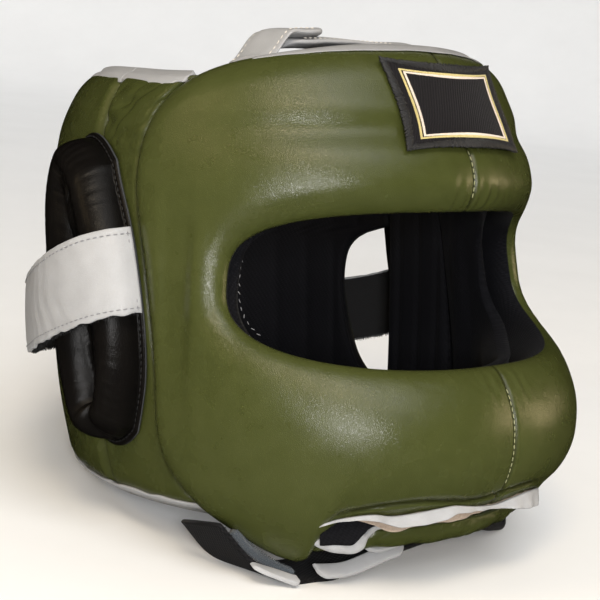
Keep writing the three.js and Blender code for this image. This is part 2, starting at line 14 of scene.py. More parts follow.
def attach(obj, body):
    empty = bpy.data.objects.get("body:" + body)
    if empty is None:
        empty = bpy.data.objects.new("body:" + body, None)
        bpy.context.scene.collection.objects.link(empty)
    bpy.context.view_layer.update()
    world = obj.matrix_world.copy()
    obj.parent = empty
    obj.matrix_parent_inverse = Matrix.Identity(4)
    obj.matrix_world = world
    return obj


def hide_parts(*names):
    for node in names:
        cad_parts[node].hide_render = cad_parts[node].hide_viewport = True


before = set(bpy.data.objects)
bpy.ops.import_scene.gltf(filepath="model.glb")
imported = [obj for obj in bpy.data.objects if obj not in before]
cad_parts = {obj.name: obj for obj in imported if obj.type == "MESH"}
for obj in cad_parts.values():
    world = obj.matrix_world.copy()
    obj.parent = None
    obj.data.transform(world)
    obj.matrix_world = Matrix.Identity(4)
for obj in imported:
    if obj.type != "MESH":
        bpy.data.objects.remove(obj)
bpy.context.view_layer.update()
log = logging.getLogger("headgear")

Array = np.ndarray
Field = Callable[..., Array]
Pair = tuple[float, float]
Triple = tuple[float, float, float]

# The worn frame is in millimetres: the wearer looks along -Y, their left is +X, Z is up.
MM = 0.001
LEAN = math.radians(8.8)
FLOOR_DROP = 10.4
CENTRE_Y = 26.48
GAP = 0.5


class FaceSection(NamedTuple):
    """Outer leather of forehead, cheeks and bar at a height."""

    z: float
    front: float
    side: float
    square: float


class RearSection(NamedTuple):
    """Outer leather of the side and rear panels at a height."""

    z: float
    back: float
    side: float


class EdgeAt(NamedTuple):
    """Half angle of an upright edge at a height."""

    z: float
    half: float


class BottomAt(NamedTuple):
    """Height of the face shell's bottom edge at a half angle."""

    half: float
    z: float


class PanelEdge(NamedTuple):
    """Bottom and top edges of the panels at a half angle."""

    half: float
    low: float
    high: float


class Groove(NamedTuple):
    """Soft groove pressed into the padding."""

    half: float
    reach: float
    z: float
    rise: float
    depth: float


class StrapStop(NamedTuple):
    """Stop of the rear strap in plan, with its height on each side."""

    x: float
    y: float
    right: float
    left: float


class CupRow(NamedTuple):
    """Row of the chin sling, from its bound rim to its back edge."""

    row: float
    reach: float
    side: float
    z: float
    end: float


class ChinStop(NamedTuple):
    """Stop of the chin strap with the heading and tilt of its width."""

    x: float
    y: float
    z: float
    heading: float
    tilt: float


class LipWave(NamedTuple):
    """Heights of the edges of the bar's lip at an angle, how far it flares and where its suede ends."""

    angle: float
    top: float
    low: float
    flare: float
    inner: float


class RollStop(NamedTuple):
    """Middle and size of the sling's bound rim at an angle from the front."""

    angle: float
    z: float
    radius: float
    height: float
    width: float


def table(kind: Callable[..., NamedTuple], rows: Sequence[Sequence[float]]) -> tuple[NamedTuple, ...]:
    """Rows of numbers with their columns named."""
    return tuple(kind(*row) for row in rows)


FACE_SECTIONS = table(FaceSection, (
    (4, 104, 95, 2.1), (30, 121, 103, 2.2), (47, 126.5, 108, 2.25), (66, 128, 111, 2.25),
    (92, 124, 111, 2.2), (124, 113, 110.5, 2.05), (150, 105, 110, 1.92),
    (170, 104.5, 109, 1.9), (190, 98, 105.5, 1.9), (208, 89.5, 99, 1.92),
    (228, 81, 89, 1.95),
))
REAR_SECTIONS = table(RearSection, (
    (24, 130, 95), (60, 140, 101), (100, 146, 103.5), (150, 147, 103.5), (190, 142, 99),
    (206, 135, 94), (226, 119, 83),
))
REAR_SQUARE = 2.1
SHELL_EDGE = table(EdgeAt, (
    (10, 69), (27, 75), (50, 79.5), (86, 80.5), (135, 84.3), (173, 87.5), (209, 84.5),
    (228, 79),
))
SHELL_BOTTOM = table(BottomAt, (
    (0, 29), (22, 29.5), (36, 27.5), (42, 19), (48, 10), (55, 11), (64, 19), (75, 27),
))
PANEL_EDGES = table(PanelEdge, (
    (70, 29, 212), (90, 29, 214), (110, 29.5, 217), (130, 31, 219.5), (150, 31.2, 220),
    (180, 32.8, 220),
))
SIDE_BACK = 108.0
SLOT_BACK = table(EdgeAt, (
    (24, 108.4), (56, 108.4), (59, 112.5), (65, 118), (78, 122.5), (108, 126.2),
    (128, 125.6), (137, 122.5), (142, 116.5), (144.5, 108.4), (226, 108.4),
))
GROOVES = table(Groove, (
    (0, 58, 189, 7, 3.2), (73, 4, 118, 40, 2.4),
))
SHELL_WALL = 18.0
SHELL_MID_Z = 124.0
SHELL_RIM_Z = 224.5
SHELL_RIM_DIP = 8.0
SHELL_BOTTOM_HALF = 75.0
CORNER_POWER = 8.0
CORNER_TURN = math.radians(47)
BAR_EXTRA = 11.0
BAR_FADE = (78.0, 104.0)
BAR_ROLL_FADE = (70.0, 110.0)
BAR_FOOT = (14.0, 34.0)
BAR_SIDES = (46.0, 72.0)
ROLL_OPENING = 15.0
ROLL_RIM = 13.0
ROLL_BAR = 27.0
EYE_HALF = 62.0
EYE_UP = 31.0
EYE_DOWN = 33.5
EYE_UP_POWER = 3.5
EYE_DOWN_POWER = 2.5
LINING_WALL = 8.0
LINING_REAR = 5.0
LINING_GAP = 1.1
PANEL_WALL = 14.0
PANEL_ROLL = 10.0
PANEL_LEVELS = (40.0, 212.0)
LAY_RADIUS = 100.0
HANDS = ((-1, "right"), (1, "left"))
STRAP_PLUMP = 0.5
STITCH_INSET = 2.6
STITCH_HALF = 0.8
STITCH_SUNK = 0.35


def curves_of(rows: Sequence[NamedTuple]) -> list[Field]:
    """Smooth curves through the columns of a table, level past its ends.

    Args:
        rows: The table, in rising order of its first column, which the curves are read by.

    Returns:
        For each other column, a function from an array of keys to an array of values.
    """
    keys, *columns = np.array(rows, float).T
    before = np.maximum(np.arange(len(keys)) - 1, 0)
    after = np.minimum(np.arange(len(keys)) + 1, len(keys) - 1)

    def curve_of(values: Array) -> Field:
        """Curve through one column."""
        slopes = (values[after] - values[before]) / (keys[after] - keys[before])

        def at(k: Array) -> Array:
            """Value of the curve at k."""
            k = np.clip(np.asarray(k, float), keys[0], keys[-1])
            i = np.clip(np.searchsorted(keys, k, side="right") - 1, 0, len(keys) - 2)
            span = keys[i + 1] - keys[i]
            t = (k - keys[i]) / span
            rest = 1 - t
            near = values[i] * (1 + 2 * t) * rest ** 2 + slopes[i] * span * t * rest ** 2
            return near + values[i + 1] * t ** 2 * (3 - 2 * t) - slopes[i + 1] * span * t ** 2 * rest

        return at

    return [curve_of(values) for values in columns]


face_front, face_side, face_square = curves_of(FACE_SECTIONS)
rear_back, rear_side = curves_of(REAR_SECTIONS)
edge_half, = curves_of(SHELL_EDGE)
bottom_z, = curves_of(SHELL_BOTTOM)
slot_back, = curves_of(SLOT_BACK)
panel_low, panel_high = curves_of(PANEL_EDGES)


def ease(limits: Pair, value: Array) -> Array:
    """Smooth step from 0 at the first limit to 1 at the second."""
    t = np.clip((np.asarray(value, float) - limits[0]) / (limits[1] - limits[0]), 0, 1)
    return t * t * (3 - 2 * t)


def full_turn(count: int) -> Array:
    """Even turns all the way round."""
    return 2 * np.pi * np.arange(count) / count


def lerp(a: Array, b: Array, t: Array) -> Array:
    """Straight blend from a to b."""
    return a + (b - a) * t


def crowded(share: Array) -> Array:
    """Steps from 0 to 1, closer together at both ends."""
    return (1 - np.cos(np.pi * share)) / 2


def crowded_grid(columns: int, rows: int) -> tuple[Array, Array]:
    """Shares over a sheet, closer together at its border."""
    u, v = (crowded(np.linspace(0, 1, count + 1)) for count in (columns, rows))
    return tuple(np.meshgrid(u, v, indexing="ij"))


def bump(value: Array, middle: float, half: float) -> Array:
    """Round hump of height 1 at a middle, with a half width."""
    return np.exp(-(((np.asarray(value, float) - middle) / half) ** 2))


def squared_radius(angle: Array, front: Array, side: Array, power: Array) -> Array:
    """Radius of a squared ellipse at an angle from its front."""
    across = (np.abs(np.sin(angle)) / side) ** power
    along = (np.abs(np.cos(angle)) / front) ** power
    return (across + along) ** (-1 / power)


def spot(angle: Array, radius: Array, z: Array) -> Array:
    """Points in the worn frame from angles off the front, radii and heights."""
    angle, radius, z = np.broadcast_arrays(angle, radius, z)
    return np.stack([radius * np.sin(angle), -radius * np.cos(angle), z], -1)


def settle(points: Array) -> Array:
    """Leans worn points back to rest on the floor, in metres."""
    x, y, z = points[..., 0], points[..., 1], points[..., 2]
    back = y * math.cos(LEAN) + z * math.sin(LEAN) - CENTRE_Y
    up = z * math.cos(LEAN) - y * math.sin(LEAN) - FLOOR_DROP
    return np.stack([x, back, np.maximum(up, 0.0)], -1) * MM


def groove_depth(angle: Array, z: Array) -> Array:
    """Depth of the soft grooves at a place on the face shell."""
    half = np.degrees(np.abs(angle))
    depth = np.zeros(np.broadcast(angle, z).shape)
    for groove in GROOVES:
        across = (half - groove.half) / groove.reach
        along = (z - groove.z) / groove.rise
        depth = depth + groove.depth * np.exp(-(across ** 4) - along ** 2)
    return depth


def face_radius(angle: Array, z: Array) -> Array:
    """Radius of the outer leather of the face shell."""
    return squared_radius(angle, face_front(z), face_side(z), face_square(z)) - groove_depth(angle, z)


def rear_radius(angle: Array, z: Array) -> Array:
    """Radius of the outer leather of the side and rear panels."""
    return squared_radius(angle, rear_back(z), rear_side(z), REAR_SQUARE)


def face_wall(angle: Array, z: Array) -> Array:
    """Padding of the face shell, thicker along the bar."""
    half = np.degrees(np.abs(angle))
    middle = (1 - ease(BAR_FADE, z)) * ease(BAR_FOOT, z)
    return SHELL_WALL + BAR_EXTRA * middle * (1 - ease(BAR_SIDES, half))


def leather_depth(angle: Array, z: Array) -> Array:
    """Depth of the face shell's own leather, which is the outermost."""
    return np.zeros_like(angle)


def lining_depth(angle: Array, z: Array) -> Array:
    """Depth of the face lining below the outer leather."""
    return face_wall(angle, z) + LINING_GAP


def lining_wall(angle: Array, z: Array) -> Array:
    """Thickness of the face lining."""
    return np.full_like(angle, LINING_WALL)


def rolled(distance: Array, roll: Array) -> Array:
    """Share of the full padding at a distance from a rolled edge."""
    x = np.clip(distance / roll, 0, 1)
    return np.sqrt(np.maximum(1 - (1 - x) ** 2, 0))


def reach_of(turn: Array, power: Array) -> Array:
    """Radius of a unit superellipse at a turn."""
    return (np.abs(np.cos(turn)) ** power + np.abs(np.sin(turn)) ** power) ** (-1 / power)


def eye_outline(turn: Array) -> tuple[Array, Array]:
    """Outline of the eye opening at a turn round it, as angle and height."""
    upper = np.sin(turn) >= 0
    reach = reach_of(turn, np.where(upper, EYE_UP_POWER, EYE_DOWN_POWER))
    rise = np.where(upper, EYE_UP, EYE_DOWN)
    angle = math.radians(EYE_HALF) * reach * np.cos(turn)
    return angle, SHELL_MID_Z + rise * reach * np.sin(turn)


def shell_outline(turn: Array) -> tuple[Array, Array]:
    """Outer outline of the face shell at the same turn."""
    reach = reach_of(turn, CORNER_POWER)
    across = reach * np.cos(turn)
    along = reach * np.sin(turn)
    top = SHELL_RIM_Z - SHELL_RIM_DIP * across ** 2
    end = np.where(along >= 0, top, bottom_z(np.abs(across) * SHELL_BOTTOM_HALF))
    z = lerp(SHELL_MID_Z, end, np.abs(along))
    return np.radians(edge_half(z)) * across, z


def rear_edge_angle(z: Array) -> Array:
    """Angle of the face shell's rear edge at a height, found by halving."""
    halvings = 40
    low = np.full(np.shape(z), -CORNER_TURN)
    high = np.full(np.shape(z), CORNER_TURN)
    for _ in range(halvings):
        middle = (low + high) / 2
        under = shell_outline(middle)[1] < z
        low = np.where(under, middle, low)
        high = np.where(under, high, middle)
    return shell_outline((low + high) / 2)[0]


def ripple(points: Array, size: float, seed: int) -> Array:
    """Smooth random field of about -1 to 1 over points, with waves of about a size."""
    waves = 11
    draw = np.random.default_rng(seed)
    ways = draw.normal(size=(waves, 3))
    ways /= np.linalg.norm(ways, axis=1, keepdims=True)
    pace = 2 * np.pi / size * draw.uniform(0.6, 1.5, waves)
    phase = draw.uniform(0, 2 * np.pi, waves)
    return np.sin((points @ ways.T) * pace + phase).sum(-1) / math.sqrt(waves)


def creases(points: Array, size: float, seed: int) -> Array:
    """Random field from -1 in narrow creases to 0 on the plain stretches between."""
    sharpness = 5
    return -np.maximum(1 - np.abs(ripple(points, size, seed)), 0) ** sharpness


@dataclass
class Skin:
    """Points in the worn frame, the faces between them and what is painted on them."""

    points: Array
    quads: Array
    tris: Array = field(default_factory=lambda: np.zeros((0, 3), int))
    uv: Optional[Array] = None
    # Share of painted shade at each point, darkest in seams, creases and recesses; none where it is not
    # given.
    seam: Optional[Array] = None
    back: Optional[Array] = None


def grid_quads(rows: int, columns: int, wrap_rows: bool, wrap_columns: bool) -> Array:
    """Four-sided faces of a grid of points, joined round where it wraps."""
    i = np.arange(rows if wrap_rows else rows - 1)
    j = np.arange(columns if wrap_columns else columns - 1)
    a, b = np.meshgrid(i, j, indexing="ij")
    near, far = a * columns, (a + 1) % rows * columns
    here, there = b, (b + 1) % columns
    return np.stack([near + here, far + here, far + there, near + there], -1).reshape(-1, 4)


def ring_skin(points: Array) -> Skin:
    """Closed ring from a grid of points that wraps both ways."""
    rows, columns = points.shape[:2]
    return Skin(points.reshape(-1, 3), grid_quads(rows, columns, True, True))


def loft_skin(rings: Array, uv: Optional[Array] = None) -> Skin:
    """Closed bar from rings of points in order, with both ends fanned to their middles."""
    rows, columns = rings.shape[:2]
    middles = rings[[0, -1]].mean(axis=1)
    points = np.concatenate([rings.reshape(-1, 3), middles])
    here = np.arange(columns)
    there = (here + 1) % columns
    last = (rows - 1) * columns
    first_fan = np.stack([np.full(columns, rows * columns), here, there], -1)
    last_fan = np.stack([np.full(columns, rows * columns + 1), last + there, last + here], -1)
    if uv is not None:
        uv = np.concatenate([uv.reshape(-1, 2), uv[[0, -1]].mean(axis=1)])
    return Skin(points, grid_quads(rows, columns, False, True), np.concatenate([first_fan, last_fan]), uv)


def pillow_skin(outer: Array, inner: Array, uv: Optional[Array] = None) -> Skin:
    """Closed pillow from an outer and an inner sheet that share their border."""
    rows, columns = outer.shape[:2]
    index = np.arange(rows * columns).reshape(rows, columns)
    under = index.copy()
    inside = np.arange((rows - 2) * (columns - 2)).reshape(rows - 2, columns - 2)
    under[1:-1, 1:-1] = rows * columns + inside
    faces = grid_quads(rows, columns, False, False)
    quads = np.concatenate([faces, under.reshape(-1)[faces][:, ::-1]])
    points = np.concatenate([outer.reshape(-1, 3), inner[1:-1, 1:-1].reshape(-1, 3)])
    if uv is not None:
        uv = np.concatenate([uv.reshape(-1, 2), uv[1:-1, 1:-1].reshape(-1, 2)])
    back = np.repeat([0, 1], len(faces))
    return Skin(points, quads, uv=uv, back=back)


def signed_volume(points: Array, skin: Skin) -> float:
    """Volume inside a skin, negative where its faces point inward."""
    q = skin.quads
    tris = np.concatenate([q[:, [0, 1, 2]], q[:, [0, 2, 3]], skin.tris])
    a, b, c = (points[tris[:, k]] for k in range(3))
    return float(np.einsum("ij,ij->i", a, np.cross(b, c)).sum() / 6)


def link(name: str, data: bpy.types.ID) -> bpy.types.Object:
    """Puts a new object with its data in the scene."""
    made = bpy.data.objects.new(name, data)
    bpy.context.scene.collection.objects.link(made)
    return made


def make_piece(name: str, skin: Skin, materials: Sequence[bpy.types.Material]) -> bpy.types.Object:
    """Makes one mesh object at the origin from a skin.

    Args:
        name: The object's name.
        skin: Its points and faces in the worn frame.
        materials: Its material, and a second one for the faces that the skin marks as its back.

    Returns:
        The new object, linked to the scene.
    """
    rest = settle(skin.points)
    turned = signed_volume(rest, skin) < 0
    faces = [*skin.quads.tolist(), *skin.tris.tolist()]
    if turned:
        faces = [face[::-1] for face in faces]
    mesh = bpy.data.meshes.new(name)
    mesh.from_pydata(rest.tolist(), [], faces)
    mesh.polygons.foreach_set("use_smooth", [True] * len(faces))
    for material in materials:
        mesh.materials.append(material)
    if skin.back is not None and len(materials) > 1:
        slots = np.concatenate([skin.back, np.zeros(len(skin.tris), int)])
        mesh.polygons.foreach_set("material_index", slots.tolist())
    if skin.uv is not None:
        corners = np.zeros(len(mesh.loops), int)
        mesh.loops.foreach_get("vertex_index", corners)
        layer = mesh.uv_layers.new(name="lay")
        layer.data.foreach_set("uv", skin.uv[corners].astype(np.float32).reshape(-1))
    # The seam attribute carries each point's share of painted shade to the leather materials.
    seam = np.zeros(len(rest)) if skin.seam is None else skin.seam
    marks = mesh.attributes.new("seam", "FLOAT", "POINT")
    marks.data.foreach_set("value", seam.astype(np.float32).reshape(-1))
    mesh.validate()
    mesh.update()
    return link(name, mesh)


class Route:
    """Smooth curve through stops, read by its share of length."""

    SAMPLES = 1600

    def __init__(self, stops: Array) -> None:
        """Lays the curve through the stops.

        Args:
            stops: Points in the worn frame, in order.
        """
        ends = np.concatenate([[2 * stops[0] - stops[1]], stops, [2 * stops[-1] - stops[-2]]])
        t = np.linspace(0, len(stops) - 1, self.SAMPLES)
        i = np.minimum(t.astype(int), len(stops) - 2)
        w = (t - i)[:, None]
        p0, p1, p2, p3 = (ends[i + k] for k in range(4))
        pairs = ((p0, p1), (p1, p2), (p2, p3))
        d0, d1, d2 = (np.sqrt(np.linalg.norm(b - a, axis=1))[:, None] for a, b in pairs)
        m1 = ((p1 - p0) / d0 - (p2 - p0) / (d0 + d1) + (p2 - p1) / d1) * d1
        m2 = ((p2 - p1) / d1 - (p3 - p1) / (d1 + d2) + (p3 - p2) / d2) * d1
        bend = (-3 * p1 + 3 * p2 - 2 * m1 - m2) * w ** 2 + (2 * p1 - 2 * p2 + m1 + m2) * w ** 3
        self.points = p1 + m1 * w + bend
        steps = np.linalg.norm(np.diff(self.points, axis=0), axis=1)
        self.along = np.concatenate([[0], np.cumsum(steps)])
        self.length = float(self.along[-1])

    def at(self, share: Array) -> Array:
        """Points at shares of the length."""
        where = np.asarray(share, float) * self.length
        return np.stack([np.interp(where, self.along, self.points[:, k]) for k in range(3)], -1)

    def way(self, share: Array) -> Array:
        """Unit directions at shares of the length."""
        near = 0.002
        step = self.at(np.clip(share + near, 0, 1)) - self.at(np.clip(share - near, 0, 1))
        return step / np.linalg.norm(step, axis=-1, keepdims=True)


def sewn_relief(across: Array, half: float) -> Array:
    """Relief over the width of a leather strap: plump between two sunk rows of stitches."""
    sunk = bump(np.abs(across), half - STITCH_INSET, STITCH_HALF)
    return STRAP_PLUMP * bump(across, 0.0, half * 0.7) - STITCH_SUNK * sunk


def rounded_section(half_thick: float, half_wide: float, power: float, count: int) -> tuple[Array, Array]:
    """Closed section of a flat strap with rounded edges, as offsets and rises."""
    turn = 2 * np.pi * (np.arange(count) + 0.5) / count
    flat = np.arctan2(np.sin(turn) * half_wide, np.cos(turn) * half_thick)
    c, s = np.cos(flat), np.sin(flat)
    reach = (np.abs(c / half_thick) ** power + np.abs(s / half_wide) ** power) ** (-1 / power)
    return reach * c, reach * s


Socket = bpy.types.NodeSocket


class Nodes:
    """Short hand for making the nodes of one tree."""

    def __init__(self, tree: bpy.types.NodeTree) -> None:
        """Keeps the tree that the nodes are made in."""
        self.tree = tree

    def add(self, kind: str, inputs: Optional[dict] = None, **settings: object) -> bpy.types.Node:
        """Makes a node.

        Args:
            kind: The node's type name.
            inputs: Values or sockets for its inputs, by name or number.
            settings: Values for its own properties.

        Returns:
            The new node.
        """
        made = self.tree.nodes.new(kind)
        for name, value in settings.items():
            setattr(made, name, value)
        self.feed(made, inputs or {})
        return made

    def feed(self, node: bpy.types.Node, inputs: dict) -> None:
        """Gives a node's inputs their values or sockets, by name or number."""
        for name, value in inputs.items():
            if isinstance(value, Socket):
                self.tree.links.new(value, node.inputs[name])
            else:
                node.inputs[name].default_value = value

    def math(self, operation: str, *values: object) -> Socket:
        """Output of a Math node on values or sockets."""
        return self.add("ShaderNodeMath", dict(enumerate(values)), operation=operation).outputs[0]

    def blend(self, factor: object, a: object, b: object) -> Socket:
        """Colour between a and b."""
        inputs = {"Factor": factor, 6: a, 7: b}
        return self.add("ShaderNodeMix", inputs, data_type="RGBA").outputs[2]

    def span(self, value: Socket, low: float, high: float, start: float = 0.0, stop: float = 1.0) -> Socket:
        """Value from a start to a stop carried to a range."""
        inputs = {"Value": value, "From Min": start, "From Max": stop, "To Min": low, "To Max": high}
        return self.add("ShaderNodeMapRange", inputs).outputs["Result"]

    def relief(self, height: Socket, strength: float, distance: float) -> Socket:
        """Normal of a bump of a height."""
        inputs = {"Height": height, "Strength": strength, "Distance": distance}
        return self.add("ShaderNodeBump", inputs).outputs["Normal"]


def group_tree(name: str, kind: str, takes: dict[str, str], gives: dict[str, str]) -> bpy.types.NodeTree:
    """Makes an empty node group with named sockets."""
    tree = bpy.data.node_groups.new(name, kind)
    for way, sockets in (("INPUT", takes), ("OUTPUT", gives)):
        for socket, of_kind in sockets.items():
            tree.interface.new_socket(socket, in_out=way, socket_type=of_kind)
    return tree


FLOAT, VECTOR, INT = "NodeSocketFloat", "NodeSocketVector", "NodeSocketInt"
SOLID, PAINT = "NodeSocketGeometry", "NodeSocketMaterial"

# How the leather's grain is mixed.
PEBBLE_EDGE = 0.3
PEBBLE_SHARE = 0.55
CREASE_SHARE = 0.45
CREASE_GAIN = 2.2
MOTTLE_SCALES = (16.0, 130.0)
MOTTLE_MIX = 0.35

# How the weave's shade is mixed.
WEAVE_SHARE = 0.7
FUZZ_SHARE = 0.3
FUZZ_SCALE = 900.0

# Where most values of a noise lie.
NOISE_LIMITS = (0.3, 0.7)


def grain_group() -> bpy.types.NodeTree:
    """Leather grain: pebbles, fine creases and a slow change of tone."""
    tree = group_tree(
        "leather_grain",
        "ShaderNodeTree",
        {"Vector": VECTOR, "Pebbles": FLOAT, "Creases": FLOAT},
        {"Height": FLOAT, "Tone": FLOAT},
    )
    n = Nodes(tree)
    given = n.add("NodeGroupInput").outputs
    where = given["Vector"]
    cells = n.add(
        "ShaderNodeTexVoronoi", {"Vector": where, "Scale": given["Pebbles"]}, feature="DISTANCE_TO_EDGE"
    )
    pebble = n.span(cells.outputs["Distance"], 0.0, 1.0, 0.0, PEBBLE_EDGE)
    wrinkled = {"Vector": where, "Scale": given["Creases"], "Detail": 5.0, "Roughness": 0.6}
    soft = n.add("ShaderNodeTexNoise", wrinkled)
    aside = n.math("ABSOLUTE", n.math("SUBTRACT", soft.outputs["Fac"], 0.5))
    fine = n.math("MULTIPLY", aside, CREASE_GAIN)
    raised = n.math("MULTIPLY", pebble, PEBBLE_SHARE)
    height = n.math("ADD", raised, n.math("MULTIPLY", fine, CREASE_SHARE))
    slow = n.add("ShaderNodeTexNoise", {"Vector": where, "Scale": MOTTLE_SCALES[0], "Detail": 3.0})
    quick = n.add("ShaderNodeTexNoise", {"Vector": where, "Scale": MOTTLE_SCALES[1], "Detail": 2.0})
    tone = n.add("ShaderNodeMix", {"Factor": MOTTLE_MIX, 2: slow.outputs["Fac"], 3: quick.outputs["Fac"]})
    n.add("NodeGroupOutput", {"Height": height, "Tone": tone.outputs[0]})
    return tree


def weave_group() -> bpy.types.NodeTree:
    """Plain weave over a UV map in metres: raised threads and their shade."""
    tree = group_tree(
        "plain_weave",
        "ShaderNodeTree",
        {"Vector": VECTOR, "Warp": FLOAT, "Weft": FLOAT, "Slant": FLOAT},
        {"Height": FLOAT, "Shade": FLOAT},
    )
    n = Nodes(tree)
    given = n.add("NodeGroupInput").outputs
    parts = n.add("ShaderNodeSeparateXYZ", {0: given["Vector"]}).outputs
    skew = n.math("ADD", parts[0], n.math("MULTIPLY", parts[1], given["Slant"]))
    warp = n.math("SINE", n.math("MULTIPLY", skew, given["Warp"]))
    weft = n.math("SINE", n.math("MULTIPLY", parts[1], given["Weft"]))
    cross = n.math("MULTIPLY", warp, weft)
    height = n.math("MULTIPLY_ADD", cross, 0.5, 0.5)
    fuzz = n.add("ShaderNodeTexNoise", {"Vector": given["Vector"], "Scale": FUZZ_SCALE, "Detail": 2.0})
    fluff = n.math("MULTIPLY", fuzz.outputs["Fac"], FUZZ_SHARE)
    shade = n.math("ADD", n.math("MULTIPLY", height, WEAVE_SHARE), fluff)
    n.add("NodeGroupOutput", {"Height": height, "Shade": shade})
    return tree


Colour = Triple


def opaque(colour: Colour) -> tuple[float, float, float, float]:
    """Colour with full alpha."""
    return (*colour, 1.0)


class Wardrobe:
    """The shared node groups and every material, each made once."""

    def __init__(self) -> None:
        """Makes the groups."""
        self.grain = grain_group()
        self.weave = weave_group()
        self.made: dict["Finish", bpy.types.Material] = {}

    def get(self, finish: "Finish") -> bpy.types.Material:
        """Material of a finish, made on first use."""
        if finish not in self.made:
            self.made[finish] = finish.value.make(self)
        return self.made[finish]

    def start(self, name: str) -> tuple[bpy.types.Material, Nodes, bpy.types.Node]:
        """New material with its Principled shader.

        Args:
            name: The material's name.

        Returns:
            The material, its node maker and its Principled node.
        """
        material = bpy.data.materials.new(name)
        material.use_nodes = True
        tree = material.node_tree
        return material, Nodes(tree), tree.nodes["Principled BSDF"]


@dataclass(frozen=True)
class LeatherFinish:
    """Dyed leather: grain, mottling, darker grain hollows and painted shade in seams, creases and recesses.
    """

    name: str
    dark: Colour
    light: Colour
    # Colour of the painted shade in seams, creases and recesses; the grain's hollows also darken toward it.
    seam: Colour
    rough_low: float
    rough_high: float
    pebbles: float
    creases: float
    depth: float
    shine: float
    coat: float

    RELIEF = 0.6
    COAT_ROUGH = 0.28
    # How far the grain's hollows darken toward the seam colour, by the grain's height.
    HOLLOWS = (-0.22, 0.2)

    def make(self, wardrobe: Wardrobe) -> bpy.types.Material:
        """Builds the material."""
        material, n, shader = wardrobe.start(self.name)
        where = n.add("ShaderNodeTexCoord").outputs["Object"]
        inputs = {"Vector": where, "Pebbles": self.pebbles, "Creases": self.creases}
        grain = n.add("ShaderNodeGroup", inputs, node_tree=wardrobe.grain)
        seam = n.add("ShaderNodeAttribute", attribute_name="seam").outputs["Fac"]
        tone = n.span(grain.outputs["Tone"], 0.0, 1.0, *NOISE_LIMITS)
        body = n.blend(tone, opaque(self.dark), opaque(self.light))
        # The seam attribute is painted shade in seams, creases and recesses; the larger of it and the
        # grain's hollows blends the base colour toward the seam colour.
        worn = n.math("MAXIMUM", seam, n.math("MULTIPLY_ADD", grain.outputs["Height"], *self.HOLLOWS))
        n.feed(shader, {
            "Base Color": n.blend(worn, body, opaque(self.seam)),
            "Roughness": n.span(tone, self.rough_low, self.rough_high),
            "Normal": n.relief(grain.outputs["Height"], self.RELIEF, self.depth),
            "Specular IOR Level": self.shine,
            "Coat Weight": self.coat,
            "Coat Roughness": self.COAT_ROUGH,
        })
        return material


@dataclass(frozen=True)
class WovenFinish:
    """Cloth woven over a UV map: webbing, twill or lining mesh."""

    name: str
    dark: Colour
    light: Colour
    warp: float
    weft: float
    slant: float
    depth: float
    rough: float
    sheen: float

    RELIEF = 0.8
    ROUGH_SPAN = 0.1
    SHINE = 0.12
    SHEEN_ROUGH = 0.4

    def make(self, wardrobe: Wardrobe) -> bpy.types.Material:
        """Builds the material."""
        material, n, shader = wardrobe.start(self.name)
        inputs = {
            "Vector": n.add("ShaderNodeTexCoord").outputs["UV"],
            "Warp": 2 * math.pi / (self.warp * MM),
            "Weft": 2 * math.pi / (self.weft * MM),
            "Slant": self.slant,
        }
        weave = n.add("ShaderNodeGroup", inputs, node_tree=wardrobe.weave)
        shade = weave.outputs["Shade"]
        n.feed(shader, {
            "Base Color": n.blend(shade, opaque(self.dark), opaque(self.light)),
            "Roughness": n.span(shade, self.rough - self.ROUGH_SPAN, self.rough),
            "Normal": n.relief(weave.outputs["Height"], self.RELIEF, self.depth),
            "Specular IOR Level": self.SHINE,
            "Sheen Weight": self.sheen,
            "Sheen Roughness": self.SHEEN_ROUGH,
        })
        return material


@dataclass(frozen=True)
class FuzzFinish:
    """Brushed or twisted fibre: loop tape, thread and suede."""

    name: str
    dark: Colour
    light: Colour
    grain: float
    depth: float
    rough: float
    sheen: float

    RELIEF = 0.9
    ROUGH_SPAN = 0.08

    def make(self, wardrobe: Wardrobe) -> bpy.types.Material:
        """Builds the material."""
        material, n, shader = wardrobe.start(self.name)
        where = n.add("ShaderNodeTexCoord").outputs["Object"]
        fibres = {"Vector": where, "Scale": self.grain, "Detail": 4.0, "Roughness": 0.7}
        pile = n.add("ShaderNodeTexNoise", fibres).outputs["Fac"]
        tone = n.span(pile, 0.0, 1.0, *NOISE_LIMITS)
        n.feed(shader, {
            "Base Color": n.blend(tone, opaque(self.dark), opaque(self.light)),
            "Roughness": n.span(tone, self.rough - self.ROUGH_SPAN, self.rough),
            "Normal": n.relief(pile, self.RELIEF, self.depth),
            "Sheen Weight": self.sheen,
        })
        return material


def thread(name: str, dark: Colour, light: Colour, rough: float, sheen: float) -> FuzzFinish:
    """Finish of a fine thread."""
    return FuzzFinish(name, dark, light, 2500.0, 0.0001, rough, sheen)


